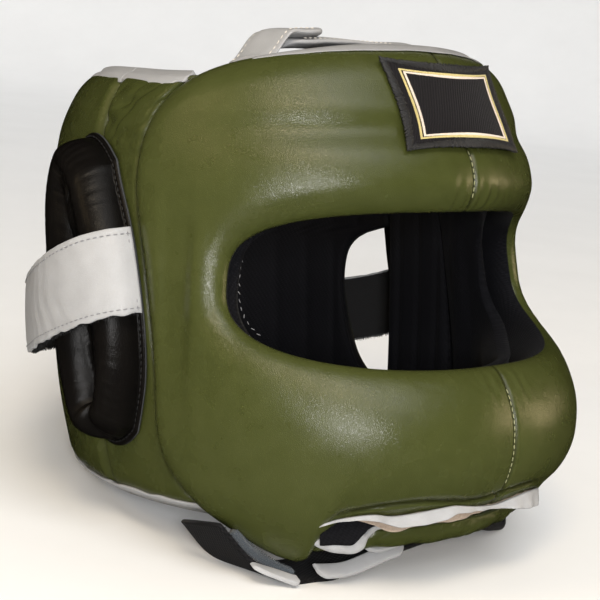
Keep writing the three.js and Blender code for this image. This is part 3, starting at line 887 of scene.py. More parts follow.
class Finish(Enum):
    """Every finish on the headgear and under it."""

    # The third colour of each leather is its painted shade in seams, creases and recesses.
    OLIVE = LeatherFinish(
        "olive_leather", (0.045, 0.053, 0.0128), (0.061, 0.070, 0.0188), (0.014, 0.015, 0.004),
        0.23, 0.31, 1500.0, 380.0, 0.00010, 0.33, 0.03,
    )
    BLACK = LeatherFinish(
        "black_leather", (0.0035, 0.003, 0.003), (0.007, 0.006, 0.005), (0.002, 0.002, 0.002),
        0.26, 0.36, 1300.0, 330.0, 0.00010, 0.09, 0.02,
    )
    WHITE = LeatherFinish(
        "white_leather", (0.335, 0.340, 0.353), (0.418, 0.427, 0.443), (0.25, 0.23, 0.21),
        0.42, 0.54, 1500.0, 420.0, 0.00008, 0.30, 0.02,
    )
    RAW_EDGE = LeatherFinish(
        "raw_edge", (0.030, 0.033, 0.038), (0.090, 0.095, 0.100), (0.02, 0.02, 0.022),
        0.70, 0.85, 1800.0, 600.0, 0.00010, 0.20, 0.0,
    )
    MESH = WovenFinish(
        "lining_mesh", (0.002, 0.002, 0.003), (0.007, 0.007, 0.009), 1.9, 1.9, 0.5, 0.0002, 0.9, 0.02,
    )
    WEBBING = WovenFinish(
        "black_webbing", (0.004, 0.004, 0.005), (0.013, 0.0125, 0.0135), 3.2, 1.5, 0.0, 0.0004, 0.75, 0.04,
    )
    TWILL = WovenFinish(
        "patch_twill", (0.004, 0.004, 0.005), (0.016, 0.014, 0.016), 1.5, 1.1, 1.0, 0.0003, 0.85, 0.05,
    )
    TAPE = FuzzFinish(
        "loop_tape", (0.018, 0.026, 0.036), (0.066, 0.084, 0.104), 1500.0, 0.0009, 1.0, 0.35,
    )
    SUEDE = FuzzFinish("tan_suede", (0.25, 0.19, 0.145), (0.37, 0.30, 0.24), 900.0, 0.0004, 1.0, 0.1)
    HOOKS = FuzzFinish(
        "hook_pile", (0.003, 0.003, 0.004), (0.011, 0.011, 0.012), 1800.0, 0.0008, 0.95, 0.06,
    )
    WHITE_THREAD = thread("white_thread", (0.55, 0.51, 0.45), (0.75, 0.71, 0.64), 0.75, 0.1)
    GREY_THREAD = thread("grey_thread", (0.12, 0.12, 0.13), (0.30, 0.30, 0.31), 0.75, 0.1)
    BLACK_THREAD = thread("black_thread", (0.003, 0.003, 0.004), (0.014, 0.014, 0.015), 0.6, 0.05)
    OLIVE_THREAD = thread("olive_thread", (0.20, 0.21, 0.08), (0.42, 0.42, 0.24), 0.7, 0.1)
    GOLD_THREAD = thread("gold_thread", (0.42, 0.34, 0.10), (0.66, 0.56, 0.26), 0.5, 0.2)
    CREAM_THREAD = thread("cream_thread", (0.60, 0.50, 0.42), (0.78, 0.69, 0.60), 0.55, 0.2)
    FLOOR = FuzzFinish("pale_floor", (0.89, 0.895, 0.90), (0.92, 0.925, 0.93), 6.0, 0.00001, 0.9, 0.0)


class Slot(Enum):
    """The record's material slots."""

    OLIVE = "olive_leather"
    BLACK = "black_leather"
    WHITE = "white_leather"
    MESH = "lining_mesh"
    WEBBING = "webbing"
    TAPE = "loop_tape"
    TWILL = "patch_twill"


BODY = "root"


def thread_tree() -> bpy.types.NodeTree:
    """Geometry Nodes that set a row of thread loops along edges, each turned to its point's way."""
    sizes = dict.fromkeys(("Spacing", "Length", "Width", "Stray"), FLOAT)
    takes = {"Geometry": SOLID, **sizes, "Seed": INT, "Thread": PAINT}
    tree = group_tree("thread_row", "GeometryNodeTree", takes, {"Geometry": SOLID})
    n = Nodes(tree)
    given = n.add("NodeGroupInput").outputs
    lines = n.add("GeometryNodeMeshToCurve", {0: given["Geometry"]}).outputs[0]
    points = n.add("GeometryNodeResampleCurve", {"Curve": lines, "Length": given["Spacing"]}, mode="LENGTH")
    bead = n.add("GeometryNodeMeshUVSphere", {"Segments": 7, "Rings": 5, "Radius": 0.5}).outputs["Mesh"]
    named = n.add("GeometryNodeInputNamedAttribute", {"Name": "way"}, data_type="FLOAT_VECTOR")
    way = named.outputs["Attribute"]
    less = n.math("MULTIPLY", given["Stray"], -1.0)
    low = n.add("ShaderNodeCombineXYZ", {k: less for k in range(3)}).outputs[0]
    high = n.add("ShaderNodeCombineXYZ", {k: given["Stray"] for k in range(3)}).outputs[0]
    limits = {0: low, 1: high, "Seed": given["Seed"]}
    stray = n.add("FunctionNodeRandomValue", limits, data_type="FLOAT_VECTOR")
    aimed = n.add("ShaderNodeVectorMath", {0: way, 1: stray.outputs[0]}, operation="ADD").outputs[0]
    turn = n.add("FunctionNodeAlignRotationToVector", {"Vector": aimed}, axis="Z").outputs[0]
    size = {0: given["Width"], 1: given["Width"], 2: given["Length"]}
    scale = n.add("ShaderNodeCombineXYZ", size).outputs[0]
    laid = {"Points": points.outputs[0], "Instance": bead, "Rotation": turn, "Scale": scale}
    loops = n.add("GeometryNodeInstanceOnPoints", laid).outputs[0]
    solid = n.add("GeometryNodeRealizeInstances", {0: loops}).outputs[0]
    smooth = n.add("GeometryNodeSetShadeSmooth", {0: solid}).outputs[0]
    painted = n.add("GeometryNodeSetMaterial", {"Geometry": smooth, "Material": given["Thread"]}).outputs[0]
    n.add("NodeGroupOutput", {"Geometry": painted})
    return tree


@dataclass(frozen=True)
class ThreadRow:
    """Sizes of a row of thread, in millimetres."""

    spacing: float = 3.2
    length: float = 2.5
    width: float = 0.55
    stray: float = 0.08
    seed: int = 1


def thread_path(name: str, paths: Sequence[Array], ways: Optional[Sequence[Array]]) -> bpy.types.Mesh:
    """Edges along paths of the worn frame, each point with the way that its loop lies."""
    laid = [settle(path) for path in paths]
    if ways is None:
        ways = [np.gradient(path, axis=0) for path in laid]
    else:
        ways = [settle(path + way) - settle(path) for path, way in zip(paths, ways)]
    counts = np.cumsum([0, *[len(path) for path in laid]])
    edges = [(int(k), int(k + 1)) for a, b in zip(counts, counts[1:]) for k in range(a, b - 1)]
    mesh = bpy.data.meshes.new(name)
    mesh.from_pydata(np.concatenate(laid).tolist(), edges, [])
    way = np.concatenate(ways)
    way /= np.maximum(np.linalg.norm(way, axis=1, keepdims=True), 1e-12)
    aims = mesh.attributes.new("way", "FLOAT_VECTOR", "POINT")
    aims.data.foreach_set("vector", way.astype(np.float32).reshape(-1))
    return mesh


class Workshop:
    """What every sub-assembly is made with."""

    def __init__(self, wardrobe: Wardrobe) -> None:
        """Keeps the materials and makes the thread's node tree once."""
        self.wardrobe = wardrobe
        self.tree = thread_tree()

    def cut(self, name: str, skin: Skin, finishes: Sequence[Finish], slot: Slot,
            fill: Optional[float] = None) -> bpy.types.Object:
        """Makes a piece that stands for the CAD node of its name.

        Args:
            name: The piece's name and the node's.
            skin: Its form in the worn frame.
            finishes: Its finish, and that of its back.
            slot: The record's slot for the piece; not used.
            fill: How tightly it is stuffed, if it is padded; not used.

        Returns:
            The piece.
        """
        piece = make_piece(name, skin, [self.wardrobe.get(finish) for finish in finishes])
        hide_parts(name)
        return self.keep(piece)

    def add(self, name: str, skin: Skin, finish: Finish, slot: Slot) -> bpy.types.Object:
        """Makes a piece that the CAD doesn't have."""
        return self.keep(make_piece(name, skin, [self.wardrobe.get(finish)]))

    def sew(self, name: str, paths: Sequence[Array], row: ThreadRow, finish: Finish,
            ways: Optional[Sequence[Array]] = None) -> bpy.types.Object:
        """Makes one piece of thread loops along paths.

        Args:
            name: The piece's name.
            paths: Runs of points in the worn frame.
            row: Sizes of the loops.
            finish: The thread's finish.
            ways: The way that the loops lie at each point of each path; along the path where none is given.

        Returns:
            The piece, as a plain mesh object.
        """
        mesh = thread_path(name + "_path", paths, ways)
        piece = link(name, mesh)
        modifier = piece.modifiers.new("thread_row", "NODES")
        modifier.node_group = self.tree
        values = {
            "Spacing": row.spacing * MM,
            "Length": row.length * MM,
            "Width": row.width * MM,
            "Stray": row.stray,
            "Seed": row.seed,
            "Thread": self.wardrobe.get(finish),
        }
        for item in self.tree.interface.items_tree:
            if item.in_out == "INPUT" and item.name in values:
                modifier[item.identifier] = values[item.name]
        graph = bpy.context.evaluated_depsgraph_get()
        solid = bpy.data.meshes.new_from_object(piece.evaluated_get(graph))
        piece.modifiers.remove(modifier)
        piece.data = solid
        solid.name = name
        bpy.data.meshes.remove(mesh)
        return self.keep(piece)

    def keep(self, piece: bpy.types.Object) -> bpy.types.Object:
        """Ties a piece to the headgear's body."""
        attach(piece, BODY)
        log.info("%s: %d faces", piece.name, len(piece.data.polygons))
        return piece


class Assembly:
    """Sub-assembly of the headgear: its pieces and what is sewn on them."""

    def build(self, shop: Workshop) -> None:
        """Makes the pieces."""
        raise NotImplementedError

    def dress(self, shop: Workshop) -> None:
        """Sews nothing, unless the sub-assembly says otherwise."""


@dataclass
class FaceShell(Assembly):
    """Padded ring of forehead, cheeks and bar, and the mesh lining behind it."""

    around: int = 480
    outside: int = 64
    inside: int = 22
    crowding: float = 0.74
    seam_depth: float = 1.5
    seam_half: float = 1.2
    pinch_depth: float = 0.9
    pinch_half: float = 9.0
    crease_depth: float = 0.35
    crease_size: float = 15.0
    crease_edge: Pair = (4.0, 9.0)
    pucker_depth: float = 0.45
    pucker_wave: Pair = (0.9, 0.6)
    pucker_beside: Pair = (9.0, 7.0)
    pucker_edge: Pair = (5.0, 7.0)
    sway: float = 0.3
    sway_size: float = 46.0
    fold_depth: float = 3.0
    fold_half: float = 1.1
    fold_rise: float = 8.2
    fold_wave: Pair = (1.2, 0.22)
    fold_start: Pair = (-41.0, -34.0)
    fold_end: Pair = (26.0, 8.0)
    gather_depth: float = 1.1
    gather_size: float = 7.0
    gather_slant: Triple = (0.5, 0.5, 1.4)
    gather_band: Pair = (5.0, 3.6)
    gather_end: Pair = (42.0, 34.0)
    # Strengths of the painted shade along the centre seam and in the crease above the bar's lip.
    seam_shade: float = 0.8
    fold_shade: float = 0.9
    front_depth: float = 12.0
    leather_fill: float = 0.9
    lining_fill: float = 0.6
    drawn: float = 0.07
    drawn_fade: Pair = (0.3, -0.5)
    bar_seam: Pair = (0.16, 0.78)
    brow_seam: Pair = (0.1, 0.36)
    thread_lift: float = 0.5
    seam_steps: int = 160
    sewn_turns: Pair = (85.0, 212.0)
    lining_seam: float = 0.02
    lining_proud: float = 0.994

    def turns(self) -> Array:
        """Turns round the eye opening, crowded toward the centre seam."""
        t = full_turn(self.around)
        return t + self.crowding * np.sin(2 * t) / 2

    def place(self, turn: Array, share: Array, side: Array, depth: Field, wall: Field,
              lift: Optional[Field] = None) -> Array:
        """Points of a padded layer.

        Args:
            turn: Turns round the eye opening.
            share: Shares of the way from the eye opening to the outer edge.
            side: 1 on the outside, -1 on the inside.
            depth: Depth of the layer's outside below the outer leather.
            wall: Thickness of the layer.
            lift: How far the surface is raised at an angle, a height and a distance from the eye opening.

        Returns:
            Points in the worn frame.
        """
        eye_angle, eye_z = eye_outline(turn)
        rim_angle, rim_z = shell_outline(turn)
        angle = lerp(eye_angle, rim_angle, share)
        z = lerp(eye_z, rim_z, share)
        outer = face_radius(angle, z) - depth(angle, z)
        thick = wall(angle, z)
        span = np.hypot((rim_angle - eye_angle) * outer, rim_z - eye_z)
        half = np.degrees(np.abs(angle))
        bar = (1 - ease(BAR_ROLL_FADE, z)) * (1 - ease(BAR_SIDES, half))
        fill = rolled(share * span, lerp(ROLL_OPENING, ROLL_BAR, bar))
        fill = fill * rolled((1 - share) * span, lerp(ROLL_RIM, ROLL_BAR, bar))
        radius = outer - thick / 2 + side * fill * thick / 2
        if lift is not None:
            radius = radius + side * lift(angle, z, share * span) * fill
        return spot(angle, radius, z)

    def seam_at(self, angle: Array, z: Array) -> Array:
        """How deep in the centre seam a place is, from 0 to 1."""
        x = face_radius(angle, z) * np.sin(angle)
        return bump(x, 0.0, self.seam_half)

    def leather_lift(self, angle: Array, z: Array, eye_gap: Array) -> Array:
        """Relief of the outer leather: centre seam, puckers by it and a gentle sway."""
        x = face_radius(angle, z) * np.sin(angle)
        points = spot(angle, face_radius(angle, z), z)
        lift = -self.seam_depth * self.seam_at(angle, z)
        lift = lift - self.pinch_depth * bump(x, 0.0, self.pinch_half)
        pace, start = self.pucker_wave
        pucker = np.sin(x * pace + start) * bump(np.abs(x), *self.pucker_beside)
        lift = lift + self.pucker_depth * pucker * bump(eye_gap, *self.pucker_edge)
        lift = lift + self.sway * ripple(points, self.sway_size, 5)
        near_edge = bump(eye_gap, *self.crease_edge)
        lift = lift + self.crease_depth * near_edge * creases(points, self.crease_size, 8)
        return lift - self.fold_depth * self.fold_at(angle, z) + self.gather(angle, z, points)

    def fold_at(self, angle: Array, z: Array) -> Array:
        """How deep in the crease above the bar's lip a place is, from 0 to 1."""
        degrees = np.degrees(angle)
        above = z - bottom_z(np.abs(degrees))
        run = ease(self.fold_start, degrees) * ease(self.fold_end, degrees)
        size, pace = self.fold_wave
        return run * bump(above, self.fold_rise + size * np.sin(degrees * pace), self.fold_half)

    def gather(self, angle: Array, z: Array, points: Array) -> Array:
        """Wrinkles of the leather between that crease and the lip."""
        half = np.abs(np.degrees(angle))
        band = bump(z - bottom_z(half), *self.gather_band) * ease(self.gather_end, half)
        slanted = points * np.array(self.gather_slant)
        return self.gather_depth * band * creases(slanted, self.gather_size, 14)

    def layer_skin(self, depth: Field, wall: Field, lift: Optional[Field], drawn: float = 0.0) -> Skin:
        """Ring of one padded layer, drawn back from the lower edge of the eye opening by a share."""
        loop = self.outside + self.inside
        j = np.arange(loop)
        outward = j <= self.outside
        share = crowded(np.where(outward, j / self.outside, (loop - j) / self.inside))
        turn = self.turns()[:, None]
        share = lerp(drawn * ease(self.drawn_fade, np.sin(turn)), 1.0, share[None])
        skin = ring_skin(self.place(turn, share, np.where(outward, 1.0, -1.0)[None], depth, wall, lift))
        skin.back = np.tile(np.where(j < self.outside, 0, 1), self.around)
        return skin

    def build(self, shop: Workshop) -> None:
        """Makes the leather ring and its lining."""
        skin = self.layer_skin(leather_depth, face_wall, self.leather_lift)
        angle = np.arctan2(skin.points[:, 0], -skin.points[:, 1])
        z = skin.points[:, 2]
        # Painted shade along the centre seam and in the crease above the bar's lip, only on the outer
        # leather.
        front = np.hypot(skin.points[:, 0], skin.points[:, 1]) > face_radius(angle, z) - self.front_depth
        seam, fold = self.seam_shade * self.seam_at(angle, z), self.fold_shade * self.fold_at(angle, z)
        skin.seam = np.maximum(seam, fold) * front
        skin.uv = self.lay(skin)
        shop.cut("face_shell", skin, [Finish.OLIVE, Finish.MESH], Slot.OLIVE, self.leather_fill)
        lining = self.layer_skin(lining_depth, lining_wall, None, self.drawn)
        lining.uv = self.lay(lining)
        shop.cut("face_lining", lining, [Finish.MESH], Slot.MESH, self.lining_fill)

    @staticmethod
    def lay(skin: Skin) -> Array:
        """Flat lay of the cloth round the head, in metres."""
        around = np.arctan2(skin.points[:, 0], -skin.points[:, 1]) * LAY_RADIUS
        return np.stack([around, skin.points[:, 2]], -1) * MM

    def dress(self, shop: Workshop) -> None:
        """Sews the centre seam and the edge of the lining."""
        def raised(angle: Array, z: Array, eye_gap: Array) -> Array:
            """Relief of the leather with the thread's rise on it."""
            return self.leather_lift(angle, z, eye_gap) + self.thread_lift

        rows = []
        for turn, run in ((-np.pi / 2, self.bar_seam), (np.pi / 2, self.brow_seam)):
            share = np.linspace(*run, self.seam_steps)
            turns = np.full_like(share, turn)
            rows.append(self.place(turns, share, np.ones_like(share), leather_depth, face_wall, raised))
        seam = ThreadRow(2.6, 2.1, 0.5)
        shop.sew("centre_seam_thread", rows, seam, Finish.OLIVE_THREAD)
        turn = np.linspace(*np.radians(self.sewn_turns), 500)
        share = np.full_like(turn, self.lining_seam)
        inner = self.place(turn, share, np.full_like(turn, -1.0), lining_depth, lining_wall)
        inner[:, :2] *= self.lining_proud
        edge = ThreadRow(3.4, 2.0, 0.36, 0.5)
        shop.sew("lining_edge_thread", [inner], edge, Finish.GREY_THREAD)


class PanelLayer(NamedTuple):
    """Layer of the panels: its depth below the outer leather, its wall, its look and its fill."""

    kind: str
    depth: float
    wall: float
    finishes: tuple[Finish, ...]
    slot: Slot
    fill: float


@dataclass
class BackPanels(Assembly):
    """Side panels, rear panel and the linings of both."""

    side_grid: tuple[int, int] = (64, 170)
    rear_grid: tuple[int, int] = (190, 120)
    wrinkle: float = 1.0
    gathered: Pair = (156.0, 192.0)
    bound: Pair = (214.0, 203.0)
    seam_roll: float = 5.0
    rib_pitch: float = 15.0
    rib_depth: float = 1.1
    rib_sharpness: int = 8
    sway: float = 0.3
    sway_size: float = 50.0
    slant: Triple = (0.6, 0.6, 1.5)
    crease_size: float = 16.0
    ripple_size: float = 11.0
    ripple_share: float = 0.45
    least_gather: float = 0.06
    layers: tuple[PanelLayer, ...] = (
        PanelLayer("panel", 0.0, PANEL_WALL, (Finish.OLIVE, Finish.MESH), Slot.OLIVE, 0.75),
        PanelLayer("lining", PANEL_WALL + LINING_GAP, LINING_REAR, (Finish.MESH,), Slot.MESH, 0.5),
    )

    @staticmethod
    def side_edges(z: Array) -> tuple[Array, Array]:
        """Angles of a side panel's front and back edges at a height."""
        return rear_edge_angle(z) + GAP / rear_side(z), np.full(np.shape(z), math.radians(SIDE_BACK))

    @staticmethod
    def rear_edges(z: Array) -> tuple[Array, Array]:
        """Angles of the rear panel's two edges at a height, passing the nape."""
        back = np.radians(np.maximum(slot_back(z), SLOT_BACK[-1].half))
        return back, 2 * np.pi - back

    @staticmethod
    def place(edges: Field, u: Array, v: Array) -> tuple[Array, Array, Array]:
        """Angle, height and span at shares between a panel's edges and from bottom to top."""
        low, high = (
            180 - np.abs(180 - np.degrees(lerp(*edges(np.array([level])), u))) for level in PANEL_LEVELS
        )
        z = lerp(panel_low(low), panel_high(high), v)
        start, end = edges(z)
        return lerp(start, end, u), z, (end - start) * rear_side(z)

    def sheet(self, edges: Field, hand: int, u: Array, v: Array, side: int, layer: PanelLayer) -> Array:
        """Points of one face of a panel's layer."""
        angle, z, span = self.place(edges, u, v)
        height = panel_high(180) - panel_low(180)
        fill = rolled(np.minimum(v, 1 - v) * height, PANEL_ROLL)
        fill = fill * rolled(np.minimum(u, 1 - u) * span, self.seam_roll)
        radius = rear_radius(angle, z) - layer.depth - layer.wall / 2 + side * fill * layer.wall / 2
        points = spot(hand * angle, radius, z)
        lift = self.leather_lift(edges, points, z) if layer.kind == "panel" else self.rib_lift(angle, side)
        return spot(hand * angle, radius + side * fill * lift, z)

    def leather_lift(self, edges: Field, points: Array, z: Array) -> Array:
        """Gathered leather high on the side panels, a gentle sway elsewhere."""
        sway = self.sway * ripple(points, self.sway_size, 14)
        if edges is not BackPanels.side_edges:
            return sway
        gather = lerp(self.least_gather, 1.0, ease(self.gathered, z)) * ease(self.bound, z)
        slanted = points * np.array(self.slant)
        folds = creases(slanted, self.crease_size, 31)
        folds = folds + self.ripple_share * ripple(slanted, self.ripple_size, 33)
        return sway + self.wrinkle * gather * folds

    def rib_lift(self, angle: Array, side: int) -> Array:
        """Upright sewn channels on the inner face of a lining."""
        if side > 0:
            return np.zeros_like(angle)
        wave = np.cos(angle * LAY_RADIUS / self.rib_pitch * np.pi)
        return -self.rib_depth * np.abs(wave) ** self.rib_sharpness

    def build(self, shop: Workshop) -> None:
        """Makes the panels and their linings."""
        for layer in self.layers:
            jobs = [
                (f"side_{layer.kind}_right", self.side_edges, -1, self.side_grid),
                (f"side_{layer.kind}_left", self.side_edges, 1, self.side_grid),
                (f"rear_{layer.kind}", self.rear_edges, 1, self.rear_grid),
            ]
            for name, edges, hand, grid in jobs:
                u, v = crowded_grid(*grid)
                outer = self.sheet(edges, hand, u, v, 1, layer)
                inner = self.sheet(edges, hand, u, v, -1, layer)
                angle, z, _ = self.place(edges, u, v)
                uv = np.stack([angle * LAY_RADIUS, z], -1) * MM
                shop.cut(name, pillow_skin(outer, inner, uv), layer.finishes, layer.slot, layer.fill)


@dataclass
class EarPads(Assembly):
    """Black leather ear pads: a fat roll round a channel, on a sewn flange."""

    around: int = 220
    spine: float = 38.5
    radius: float = 26.5
    mid_z: float = 122.0
    behind_edge: float = 2.6
    gap: float = 1.2
    slide: float = 1.18
    height: float = 16.0
    flange: float = 2.4
    flange_wall: float = 1.8
    channel: float = 4.5
    channel_half: Pair = (7.0, 3.4)
    channel_span: Pair = (-0.7, 0.4)
    channel_fade: Pair = (0.30, 0.98)
    corner: Pair = (0.25, 1.0)
    corner_cut: Pair = (12.0, 6.0)
    dome: float = 0.85
    pucker: float = 1.05
    pucker_waves: tuple[tuple[float, ...], ...] = ((1.0, 47, 1.7, 9), (0.7, 83, 2.0, 5))
    pucker_sharpness: float = 1.5
    pucker_sides: float = 0.35
    edge_pucker: Triple = (0.6, 2.0, 4.0)
    throat_pucker: Pair = (3.0, 5.0)
    rim: tuple[Pair, ...] = ((0.0, 0.9), (0.5, 1.6), (1.2, 1.8), (2.0, 1.8))
    under_hole: float = 2.5
    throat_hole: float = 1.5
    under_steps: int = 8
    roll_steps: int = 46
    # Reach and strength of the painted shade in the throat and along the flange.
    throat_shade: float = 3.0
    flange_shade: Pair = (0.5, 0.9)
    stitch_inset: float = 1.6
    stitch_lift: float = 1.95
    fill: float = 0.95
    notch_depth: float = 0.72
    notch_half: float = 9.0
    sag: float = 1.15

    def ring(self, hand: int, turn: Array, inset: Array, lift: Array) -> Array:
        """Points of the pad's outline drawn in by an inset and raised above the panel."""
        slid = np.clip(self.slide * np.sin(turn), -1, 1) * self.spine
        rise = (self.radius - inset) * np.sin(turn)
        cut = np.where(rise > 0, self.corner_cut[0], -self.corner_cut[1])
        cut = cut * ease(self.corner, np.abs(np.sin(turn)))
        z = self.mid_z + slid + np.where(rise < 0, self.sag, 1.0) * rise + cut * np.cos(turn)
        behind = self.behind_edge + self.radius + (self.radius - inset) * np.cos(turn)
        angle = rear_edge_angle(z) + behind / rear_side(z)
        return spot(hand * angle, rear_radius(angle, z) + self.gap + lift, z)

    def crown(self, turn: Array, inset: float) -> Array:
        """Height of the pad above its flange, its channel rising to a full dome at the top."""
        up = np.clip(self.slide * np.sin(turn), -1, 1)
        half = (self.radius - self.flange - lerp(*self.channel_half, ease(self.channel_span, up))) / 2
        along = (inset - self.flange - half) / half
        roll = self.height * np.maximum(1 - along ** 2, 0) ** 0.5
        floor = lerp(self.channel, self.dome * self.height, ease(self.channel_fade, up))
        return np.maximum(roll, floor * (inset > self.flange + half))

    def notch(self, turn: Array) -> Array:
        """Share of the roll's height at a turn, least where the channel runs out at the bottom."""
        from_bottom = np.degrees((turn + 1.5 * np.pi) % (2 * np.pi) - np.pi)
        return 1 - self.notch_depth * bump(from_bottom, 0.0, self.notch_half)

    def pucker_lift(self, turn: Array, inset: Array) -> Array:
        """Leather gathered along the sewn edge and into the channel, most at the round ends."""
        ends = lerp(self.pucker_sides, 1.0, np.abs(np.sin(turn)) ** 3)
        share, above, half = self.edge_pucker
        edge = bump(inset, self.flange + above, half)
        before, reach = self.throat_pucker
        throat = bump(inset, self.radius - self.channel_half[1] - before, reach)
        gathers = np.zeros_like(turn)
        for size, pace, sway, slow in self.pucker_waves:
            gathers = gathers + size * np.sin(turn * pace + sway * np.sin(turn * slow))
        return -self.pucker * ends * (share * edge + throat) * np.abs(gathers) ** self.pucker_sharpness

    def build(self, shop: Workshop) -> None:
        """Makes the two pads."""
        turn = full_turn(self.around)
        low = np.linspace(self.radius - self.under_hole, 0, self.under_steps)
        steps = crowded(np.linspace(0, 1, self.roll_steps))
        roll = lerp(self.flange, self.radius - self.throat_hole, steps)
        rim, rim_rise = np.array(self.rim).T
        insets = np.concatenate([low, rim, roll])
        base = np.concatenate([np.zeros(len(low)), rim_rise, np.full(len(roll), self.flange_wall)])
        padded = np.arange(len(insets)) >= len(low) + len(rim)
        for hand, side in HANDS:
            rings = np.stack([
                self.ring(hand, turn, inset, foot + full * (
                    self.crown(turn, inset) * self.notch(turn) + self.pucker_lift(turn, inset)))
                for inset, foot, full in zip(insets, base, padded)
            ])
            skin = loft_skin(rings)
            # Painted shade, darkest in the throat and its middle, lighter along the flange.
            shade, near = self.flange_shade
            deep = bump(insets, self.radius, self.throat_shade) + shade * bump(insets, self.flange, near)
            skin.seam = np.clip(np.append(np.repeat(deep, self.around), [0.0, 1.0]), 0, 1)
            raw = np.arange(len(insets) - 1) == len(low) - 1
            skin.back = np.repeat(raw.astype(int), self.around)
            name = f"ear_pad_{side}"
            shop.cut(name, skin, [Finish.BLACK, Finish.RAW_EDGE], Slot.BLACK, self.fill)

    def dress(self, shop: Workshop) -> None:
        """Sews the flanges."""
        turn = np.linspace(0, 2 * np.pi, 700)
        inset, lift = np.full_like(turn, self.stitch_inset), np.full_like(turn, self.stitch_lift)
        paths = [self.ring(hand, turn, inset, lift) for hand in (-1, 1)]
        shop.sew("ear_pad_thread", paths, ThreadRow(2.9, 2.3, 0.5), Finish.BLACK_THREAD)


REAR_STRAP_ROUTE = table(StrapStop, (
    (109, -8.8, 131, 131), (115.5, -7.2, 130.5, 129.5), (122.5, 0.8, 128, 126.5),
    (126, 14, 123, 122), (124.5, 31, 117, 114), (117, 50, 111.5, 103.5),
    (97, 85, 105.5, 95), (75.5, 116, 102, 94), (43, 141, 99, 95.5), (0, 150.5, 97.5, 97.5),
))


@dataclass
class RearStrap(Assembly):
    """White leather strap round the back, with its hook-and-loop backing."""

    half: float = 18.0
    wall: float = 2.4
    backing: float = 1.5
    slant: float = 0.21
    slant_fade: Pair = (-5.0, 40.0)
    stations: int = 420
    around: int = 56
    section_power: float = 5.0
    bend: Pair = (20.0, 26.0)
    wrinkle: float = 0.22
    wrinkle_pace: float = 330.0
    wrinkle_low: Pair = (-9.0, 9.0)
    ragged: Pair = (0.15, 0.5)
    thread_lift: float = 0.05
    sewn: Pair = (0.004, 0.996)
    sewn_ends: Pair = (0.0045, 0.9955)
    pile_offsets: Pair = (0.5, 1.2)
    pile_inset: float = 1.2
    route: Route = field(init=False)

    def __post_init__(self) -> None:
        """Lays the route from the left end round the back to the right end."""
        left = [(stop.x, stop.y, stop.left) for stop in REAR_STRAP_ROUTE]
        right = [(-stop.x, stop.y, stop.right) for stop in REAR_STRAP_ROUTE[:-1]]
        self.route = Route(np.array([*left, *right[::-1]], float))

    def place(self, share: Array, offset: Array, rise: Array) -> Array:
        """Points at a share of the route, an offset outward and a rise."""
        middle = self.route.at(share)
        along = self.route.way(share)
        flat = np.hypot(along[..., 0], along[..., 1])
        out = np.stack([along[..., 1] / flat, -along[..., 0] / flat, np.zeros_like(flat)], -1)
        lean = self.slant * (1 - ease(self.slant_fade, middle[..., 1]))
        shift = np.stack([np.zeros_like(rise), lean * rise, rise], -1)
        return middle + out * offset[..., None] + shift

    def band(self, low: float, high: float, half: float, worn: bool) -> Skin:
        """Band between two offsets, with the leather's relief where it is worn."""
        share = np.linspace(0, 1, self.stations)
        thick = (high - low) / 2
        section_offset, section_rise = rounded_section(thick, half, self.section_power, self.around)
        s, offset = np.meshgrid(share, section_offset, indexing="ij")
        rise = np.broadcast_to(section_rise, s.shape)
        offset = offset + (low + high) / 2
        uv = np.stack([s * self.route.length, rise], -1) * MM
        if worn:
            outer = ease((low, high), offset)
            points = self.place(s, offset, rise)
            bends = bump(points[..., 1], *self.bend)
            wrinkles = np.sin(s * self.wrinkle_pace + 0.12 * rise + 1.5 * ripple(points, 30.0, 4))
            wrinkles = wrinkles * (0.4 + 0.6 * bump(rise, *self.wrinkle_low))
            edge = np.where(rise > 0, *self.ragged) * (np.abs(rise) > half - 1.0) * ripple(points, 9.0, 6)
            offset = offset + outer * (sewn_relief(rise, half) + self.wrinkle * bends * wrinkles)
            rise = rise + edge
        return loft_skin(self.place(s, offset, rise), uv)

    def build(self, shop: Workshop) -> None:
        """Makes the backing and the leather strap."""
        backing = self.band(0.0, self.backing, self.half - 1, False)
        shop.cut("rear_strap_backing", backing, [Finish.HOOKS], Slot.WEBBING)
        low = self.backing + GAP
        leather = self.band(low, low + self.wall, self.half, True)
        shop.cut("rear_strap", leather, [Finish.WHITE], Slot.WHITE)

    def dress(self, shop: Workshop) -> None:
        """Sews the strap's edges and ends, and lets the backing's pile stand out below."""
        face = self.backing + GAP + self.wall + self.thread_lift
        share = np.linspace(*self.sewn, 1400)
        line = self.half - STITCH_INSET
        over = np.full_like(share, face)
        rows = [self.place(share, over, np.full_like(share, rise)) for rise in (-line, line)]
        rise = np.linspace(-line, line, 60)
        for end in self.sewn_ends:
            rows.append(self.place(np.full_like(rise, end), np.full_like(rise, face), rise))
        shop.sew("rear_strap_thread", rows, ThreadRow(2.9, 2.0, 0.46), Finish.GREY_THREAD)
        foot = np.full_like(share, self.pile_inset - self.half)
        fringe = [self.place(share, np.full_like(share, offset), foot) for offset in self.pile_offsets]
        ways = [np.broadcast_to([0.0, 0.0, -1.0], low.shape) for low in fringe]
        pile = ThreadRow(0.7, 4.6, 0.32, 0.8, 3)
        shop.sew("rear_strap_pile", fringe, pile, Finish.HOOKS, ways)


